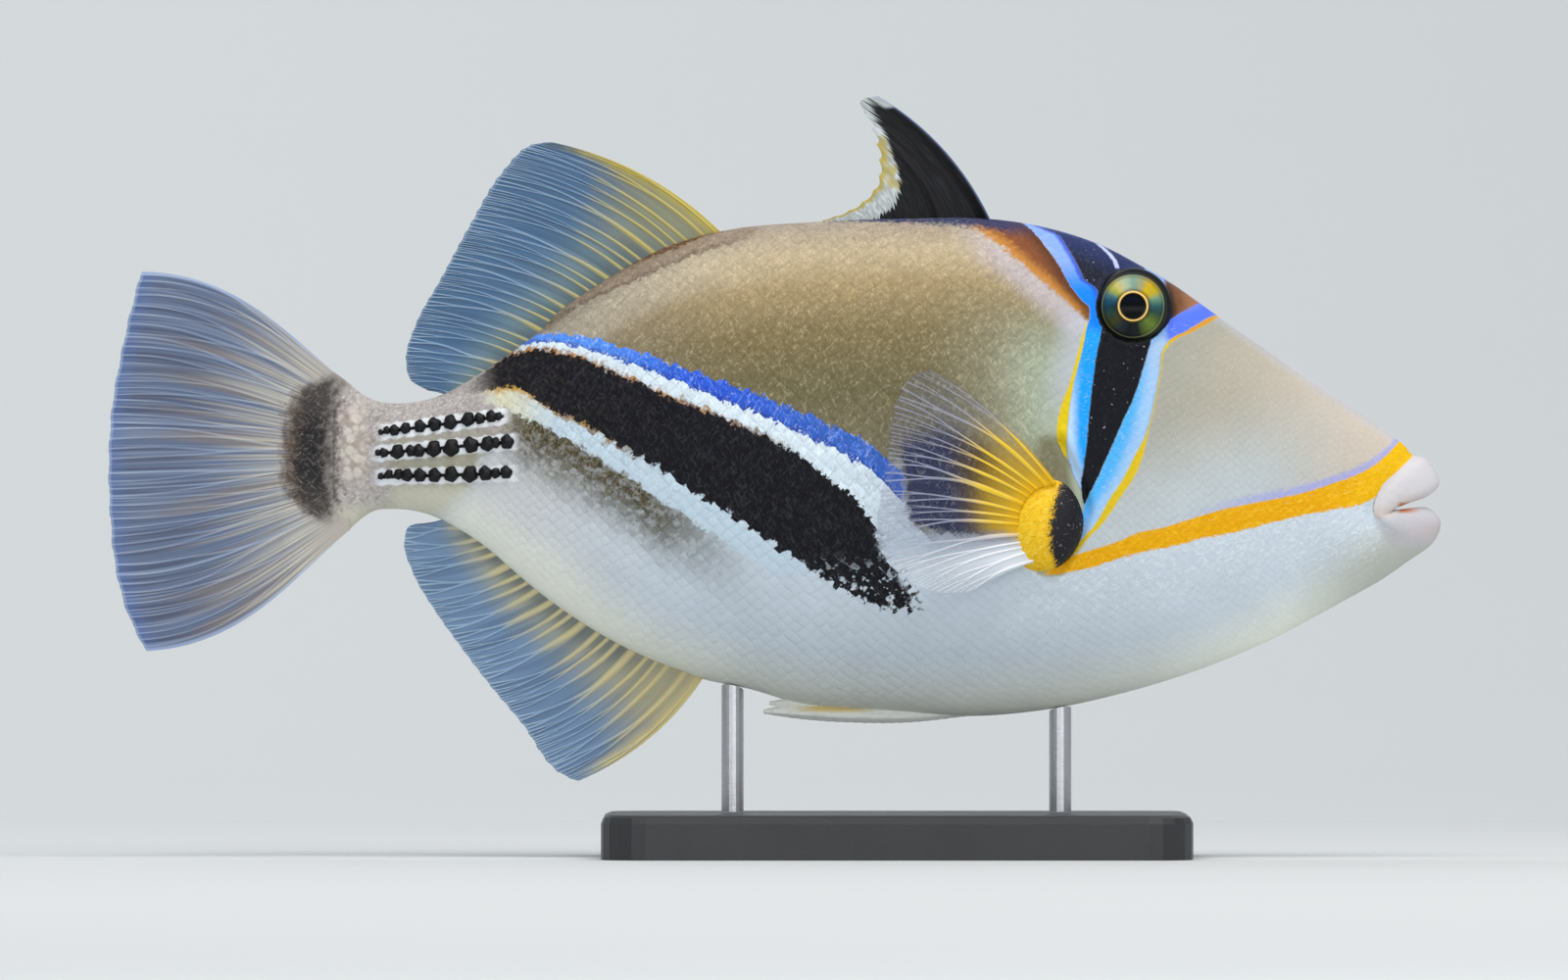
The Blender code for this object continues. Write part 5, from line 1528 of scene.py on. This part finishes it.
def makeTailPaint():
    material, shader, wire = newPaint("tailFinPaint")
    ray, u, v, streaks = finWires(wire)
    surface = surfacePlace(wire)
    across, down = inDots(surface)
    fine, middling, broad = streaks(12.0, 0.7), streaks(5.0, 0.6), streaks(1.6, 0.7)
    skin = wire.paint("60708F").mix(fine.rise(0.42, 0.66) * 0.55, "95A3BC")
    skin = skin.over(
        (middling.fall(0.36, 0.52) * 0.7, "3C4563"),
        (broad.rise(0.48, 0.64) * v.fall(0.6, 0.95) * 0.65, "8A7C72"),
        (v.rise(0.9, 1.0) * 0.4, "4F78C4"))
    bone = ray.rise(0.25, 0.8)
    colour = skin.mix(bone * (v.fall(0.3, 0.95) * 0.25 + 0.1), "C3CEDC")
    pearl = (v + (middling - 0.5) * 0.9).fall(0.16, 0.64)
    colour = colour.over(
        (pearl * (fine.rise(0.38, 0.6) * 0.5 + 0.4), "CEC9BB"),
        (pearl * v.fall(0.2, 0.42) * fine.fall(0.36, 0.5) * 0.5, "7C7468"))
    rims = (u - 0.5).size().rise(0.485, 0.497)
    colour = colour.mix(rims * 0.7, "B5C8EC")
    tips = ray.rise(0.5, 0.85) * v.rise(0.72, 0.95)
    colour = colour.over(
        (tips * 0.2, "E3ECF8"),
        (v.rise(0.985, 0.995) * 0.6, "B9CEF0"))
    flesh = across.rise(300.0, 350.0)
    colour = colour.mix(flesh, "B5AEA6")
    colour = tailBar(surface, across, down, colour)
    alpha = (0.84 + bone * 0.16).most(v.fall(0.25, 0.5))
    finishFin(shader, wire, colour, ray * (1 - flesh) * 0.4, alpha, v * 34.0)
    return material


def makePectoralPaint():
    material, shader, wire = newPaint("pectoralPaint")
    ray, u, v, streaks = finWires(wire)
    fine = streaks(6.0, 2.0)
    bone = ray.rise(0.3, 0.75)
    upper = u.fall(0.62, 0.74)
    reach = u.follow([(0.0, 0.5), (0.25, 0.56), (0.5, 0.42), (1.0, 0.2)])
    golden = (v + fine * 0.16 - 0.08 - reach).fall(-0.22, 0.1) * upper
    skin = wire.paint("6E759A").mix(golden, "DDB428")
    skin = skin.mix(u.rise(0.62, 0.8), "E6ECF4")
    colour = skin.mix(bone, "AFB3C9")
    colour = colour.over(
        (bone * golden, "F8D02A"),
        (bone * u.rise(0.64, 0.76) * 0.9, "FAFCFF"),
        (v.fall(0.04, 0.14) * upper, "F4C216"))
    clear = 1 - u.fall(0.05, 0.4) * v.rise(0.35, 0.9) * 0.4
    spokes = bone * (0.52 - v * 0.22 + golden * 0.42) * clear
    alpha = 0.09 + spokes + golden * v.fall(0.05, 0.45) * 0.6 + u.rise(0.64, 0.85) * v.fall(0.2, 1.0) * 0.75
    alpha = alpha + fine.rise(0.55, 0.7) * 0.08
    finishFin(shader, wire, colour, ray, alpha.least(1.0), v * 24.0)
    return material


def makeLobePaint():
    material, shader, wire = newPaint("lobePaint")
    surface = surfacePlace(wire)
    across, down = inDots(surface)
    grains = slanted(surface, 60, 1.8, 0.5)
    colour = wire.paint("FAC80F").mix(grains.rise(0.5, 0.66) * 0.5, "FFE45E")
    colour = colour.mix(grains.fall(0.34, 0.46) * 0.5, "D29808")
    edge = down.follow([
        (480, 1085), (492, 1081), (511, 1075), (528, 1071), (550, 1069), (571, 1074), (590, 1079)])
    strip = (across - edge + (grains - 0.5) * 22.0).rise(-3.5, 3.5)
    colour = colour.over(
        (strip, "16151C"),
        (strip * surface.grain(0.5, 1.0).rise(0.66, 0.72) * 0.7, "8F8C90"))
    front = down.follow([(486, 1096), (498, 1103), (515, 1105), (546, 1100), (569, 1089), (585, 1080)])
    rim = (across - front).rise(-3.0, 0.0)
    colour = colour.mix(rim * down.fall(505.0, 520.0) * 0.6, "B9A68C")
    connect(shader, {
        "Base Color": colour, "Roughness": 0.45, "Normal": relief(grains, 0.6, 0.22),
        "Specular IOR Level": 0.3})
    return material


# first dorsal fin

spiny = {
    "root": [(39.5, 50.4), (30.0, 50.2), (20.0, 49.6), (9.6, 49.0)],
    "edge": [
        (18.6, 74.0), (15.7, 73.2), (17.6, 68.0), (18.8, 63.0), (18.5, 58.2), (16.0, 55.0), (12.5, 52.9),
        (8.6, 51.6)],
    "bows": (2.5, 0.4),
    # place along the fin, thickness and half width of each
    "spines": [(0.0, 2.4, 0.055), (0.30, 1.3, 0.05), (0.58, 0.9, 0.05)],
    "columns": 180, "rows": 70,
    "membrane": 0.3,  # half its thickness
}


def makeSpinyFin(material):
    u, v = unitGrid(spiny["columns"], spiny["rows"])
    along = u ** 1.15
    root, edge = smoothPath(spiny["root"])(along), smoothPath(spiny["edge"])(along)
    bow = spiny["bows"][0] * (1 - along) + spiny["bows"][1] * along
    notch = 0.05 * np.abs(np.sin(along * 34)) * smoothStep(along, 0.12, 0.2) * smoothStep(v, 0.7, 1.0)
    flat = bentRay(root, edge, bow, v * (1 - notch))
    spine = np.zeros_like(u)
    for at, thick, wide in spiny["spines"]:
        spine = np.maximum(spine, thick * hump(along, at, wide))
    folds = 0.06 * np.sin(along * 70) * smoothStep(v, 0.0, 0.2)
    half = spiny["membrane"] + 0.5 * spine * (1 - 0.75 * v) + folds
    front = np.stack([flat[..., 0], -half, flat[..., 1]], axis=-1)
    back = np.stack([flat[..., 0], half, flat[..., 1]], axis=-1)
    places = np.stack([along, v, along * 20], axis=-1)
    high = spine / spiny["spines"][0][1]
    sheetPiece("spinyDorsal", front, back, {"ray": high, "finPlace": places}, material, "spiny_fin",
               ["spiny_dorsal_fin"])


def makeSpinyPaint():
    material, shader, wire = newPaint("spinyFinPaint")
    u, v, streaks = finWires(wire)[1:]
    surface = surfacePlace(wire)
    strands = streaks(3.0, 5.0)
    colour = wire.paint("08080B").mix(strands.rise(0.5, 0.68) * 0.4, "2E2E38")
    ragged = streaks(4.0, 1.2) * 0.34 - 0.09
    edgeWide = u.follow([
        (0.0, 0.97), (0.12, 0.93), (0.2, 0.9), (0.32, 0.84), (0.45, 0.66), (0.6, 0.44), (0.78, 0.34),
        (1.0, 0.3)])
    margin = (v + ragged - edgeWide).rise(0.05, 0.12) * v.rise(0.1, 0.16)
    margin = margin.most(v.rise(0.87, 0.91) * u.fall(0.03, 0.07))
    colour = colour.mix(margin, wire.paint("B2BABA").mix(strands.rise(0.42, 0.64) * 0.6, "E2E8EC"))
    gilt = (v + streaks(4.0, 1.0) * 0.2).rise(0.92, 1.06) * u.rise(0.26, 0.36)
    patches = surface.grain(2.4, 1.0).rise(0.46, 0.58) * u.within(0.26, 0.56, 0.05) * 0.8
    colour = colour.over(
        (margin * gilt.most(patches) * 0.9, "B9A640"),
        # a pale blue line along the leading spine's front edge: painted highlight
        (u.fall(0.0, 0.018) * 0.6, "7C8FC0"))
    connect(shader, {
        "Base Color": colour, "Roughness": 0.5, "Normal": relief(strands, 0.6, 0.2),
        "Specular IOR Level": 0.25})
    return material


# spines of the tail stalk

knobs = {
    # column, row and half width of each, in dots
    "rows": [
        [(389, 441, 2.9), (395, 439, 3.9), (403, 439, 5.7), (414, 437, 5.8), (429, 435, 6.6), (444, 433, 7.1),
         (460, 431, 7.2), (478, 428, 7.2), (490, 427, 5.9), (502, 425, 6.1), (509, 425, 4.2)],
        [(386, 462, 3.2), (392, 462, 4.9), (406, 461, 7.2), (420, 460, 5.9), (428, 460, 6.5), (443, 458, 8.3),
         (461, 457, 8.7), (481, 454, 8.2), (498, 453, 7.5), (506, 452, 5.6), (518, 451, 7.1)],
        [(389, 486, 3.5), (397, 484, 4.6), (407, 484, 5.4), (416, 485, 6.4), (429, 485, 6.8), (444, 485, 7.0),
         (461, 484, 7.9), (480, 484, 8.2), (496, 483, 7.2), (506, 483, 5.4), (517, 482, 6.5)],
    ],
    "high": 0.95,  # for a half width of 1
    "profile": [(1.0, -0.5), (1.0, 0.05), (0.95, 0.35), (0.74, 0.62), (0.5, 0.74), (0.26, 0.92)],
    "sides": 28,
    "most": 1.3,  # height over the skin
    "seed": 21,
}


def knobPlate():
    # one blunt, angular thorn of half width 1: x towards the head, z outwards
    points, faces = [], []
    sides, profile = knobs["sides"], knobs["profile"]
    for share, high in profile:
        for step in range(sides):
            turn = 2 * math.pi * step / sides
            reach = share * (1 + 0.07 * math.cos(5 * turn) + 0.05 * math.cos(3 * turn + 1.0))
            x, y = 0.94 * reach * math.cos(turn), 1.06 * reach * math.sin(turn)
            points.append((x, y, knobs["high"] * high))
    points.append((0.05, 0.0, knobs["high"]))
    for ring in range(len(profile) - 1):
        for step in range(sides):
            a, b = ring * sides + step, ring * sides + (step + 1) % sides
            faces.append((a, b, b + sides, a + sides))
    top = (len(profile) - 1) * sides
    faces += [(top + step, top + (step + 1) % sides, len(points) - 1) for step in range(sides)]
    faces.append(tuple(range(sides - 1, -1, -1)))
    return makePlate("knobPlate", points, faces)


def makeKnobs(tree, material):
    points, outs, sizes = [], [], []
    for side in (-1, 1):
        for column, row, half in (knob for line in knobs["rows"] for knob in line):
            x, z = fromDots(np.array([[column, row]]))[0]
            near = np.array([[x, z], [x + 0.5, z], [x, z + 0.5]])
            wide = flankAt(near[:, 0], near[:, 1])
            outs.append(np.array([-(wide[1] - wide[0]) / 0.5, side, -(wide[2] - wide[0]) / 0.5]))
            points.append((x, side * wide[0], z))
            sizes.append([half * picture["dot"]] * 2 + [min(knobs["most"], half * picture["dot"])])
    outs = np.array(outs)
    draw = np.random.default_rng(knobs["seed"])
    leans = draw.uniform(-0.6, 0.6, len(outs))
    turns = turnsFrom(np.column_stack([np.ones(len(outs)), np.zeros(len(outs)), leans]), outs)
    plate = knobPlate()
    piece = growOn("tailSpines", tree, np.array(points), {
        "turn": ("FLOAT_VECTOR", turns), "size": ("FLOAT_VECTOR", sizes),
    }, plate, material, (0.97, 1.03), knobs["seed"])
    bpy.data.objects.remove(plate)
    finishPiece(piece, None, "stalk_skin")


def makeKnobPaint():
    material, shader, wire = newPaint("thornPaint")
    surface = surfacePlace(wire)
    worn = surface.grain(0.6, 2.0)
    colour = wire.paint("09090B").mix(worn.rise(0.55, 0.75) * 0.4, "2E2A2C")
    connect(shader, {
        "Base Color": colour, "Roughness": 0.36 + worn * 0.3, "Normal": relief(worn, 0.6, 0.2),
        "Specular IOR Level": 0.3})
    return material


# pelvic spine

pelvic = {
    "blade": [
        (39.5, -36.6, 0.5, 0.5), (33.0, -37.0, 0.9, 0.9), (24.0, -37.4, 1.4, 1.2), (14.0, -37.3, 1.5, 1.3),
        (6.0, -36.9, 1.4, 1.2), (1.0, -36.8, 0.9, 0.8), (-1.9, -36.9, 0.35, 0.3)],
    "flap": [(8.0, -35.6, 1.2, 1.0), (3.0, -35.4, 0.9, 0.8), (-0.9, -35.4, 0.3, 0.3)],
    "rings": 90, "sides": 28,
}


def pelvicBar(name, rows, material, nodes):
    path = smoothPath(rows)
    share = np.linspace(0, 1, pelvic["rings"])
    x, z, high, wide = path(share).T
    turns = np.linspace(0, 2 * np.pi, pelvic["sides"], endpoint=False)
    ridges = 1 + 0.06 * np.cos(7 * turns)[None, :] + 0.03 * np.sin(share * 160)[:, None]
    y = wide[:, None] * np.cos(turns)[None, :] * ridges
    up = z[:, None] + high[:, None] * np.sin(turns)[None, :] * ridges
    points, faces = closeRings(np.stack([x[:, None] + 0 * y, y, up], axis=-1))
    makePiece(name, points, faces, material, "pelvic_skin", nodes)


def makePelvicPaint():
    material, shader, wire = newPaint("pelvicPaint")
    surface = surfacePlace(wire)
    strands = surface.vector("MULTIPLY", (0.3, 1.0, 1.6)).grain(0.8, 3.0, 0.6)
    colour = wire.paint("F2F4EE").mix(strands.rise(0.5, 0.75) * 0.5, "C4C8BC")
    streak = surface.part(0).within(5.0, 17.0, 3.0) * surface.part(2).within(26.3, 27.3, 0.5)
    colour = colour.mix(streak * 0.8, "E0BE3C")
    connect(shader, {"Base Color": colour, "Roughness": 0.5, "Normal": relief(strands, 0.6, 0.2)})
    return material


# stand and studio paints

def makeBasePaint():
    material, shader, wire = newPaint("standPaint")
    surface = surfacePlace(wire)
    stipple = surface.grain(0.35, 3.0, 0.65)
    cloud = surface.grain(14.0, 3.0)
    colour = wire.paint("2B2C2F").mix(stipple.rise(0.5, 0.8) * 0.4, "3B3C40")
    colour = colour.mix(cloud.rise(0.5, 0.8) * 0.2, "1E1F21")
    connect(shader, {
        "Base Color": colour, "Roughness": 0.36 + cloud * 0.12, "Normal": relief(stipple, 0.35, 0.12)})
    return material


def makeRodPaint():
    material, shader, wire = newPaint("rodSteel")
    surface = surfacePlace(wire)
    brushed = surface.vector("MULTIPLY", (1.0, 1.0, 14.0)).grain(1.2, 3.0, 0.7)
    colour = wire.paint("C4C5C8").mix(brushed.rise(0.4, 0.7) * 0.5, "9C9DA1")
    connect(shader, {
        "Base Color": colour, "Metallic": 1.0, "Roughness": 0.24 + brushed * 0.16,
        "Normal": relief(brushed, 0.25, 0.05)})
    return material


def makeBackdropPaint():
    material, shader, wire = newPaint("backdropPaint")
    cloud = surfacePlace(wire).grain(300.0, 2.0)
    colour = wire.paint("D8DBDC").mix(cloud * 0.2, "D0D4D6")
    connect(shader, {"Base Color": colour, "Roughness": 0.8, "Specular IOR Level": 0.2})
    return material


def dressStand(basePaint, rodSteel):
    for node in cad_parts:
        if node.startswith("stand_"):
            piece = bpy.data.objects[node]
            piece.data.materials.clear()
            piece.data.materials.append(basePaint if node == "stand_base" else rodSteel)


makeCamera()
makeStudio(makeBackdropPaint())
print("camera and studio ready")

skin = makeBodyGrid()
skinPiece = makeSkin(skin, makeSkinPaint("skinPaint", False))
makeScales(skin, skinPiece, growTree(True), makeSkinPaint("scalePaint", True))
makeKnobs(growTree(False), makeKnobPaint())
print("skin, scales and tail spines ready")

eyePaint = makeEyePaint()
pectoralPaint, lobePaint = makePectoralPaint(), makeLobePaint()
for label, side in (("Right", -1), ("Left", 1)):
    makeEye(label, side, eyePaint)
    makePectoral(label, side, pectoralPaint)
    makeLobe(label, side, lobePaint)
dorsalPaint = makeSoftFinPaint("softDorsalPaint", 0.32, "6C8B94", "3C6A94", "C2AF48", 0.75)
makeMedianFin("softDorsal", softDorsal, dorsalPaint, "clear_fins", "soft_dorsal_fin")
analPaint = makeSoftFinPaint("analPaint", 0.42, "A3A694", "6E8FB4", "D8C888", 0.85)
makeMedianFin("analFin", anal, analPaint, "clear_fins", "anal_fin")
makeMedianFin("tailFin", caudal, makeTailPaint(), "clear_fins", "caudal_fin")
makeSpinyFin(makeSpinyPaint())
pelvicPaint = makePelvicPaint()
pelvicBar("pelvicBlade", pelvic["blade"], pelvicPaint, ["pelvic_spine"])
pelvicBar("pelvicFlap", pelvic["flap"], pelvicPaint, [])
print("eyes and fins ready")

dressStand(makeBasePaint(), makeRodPaint())
print("stand ready")
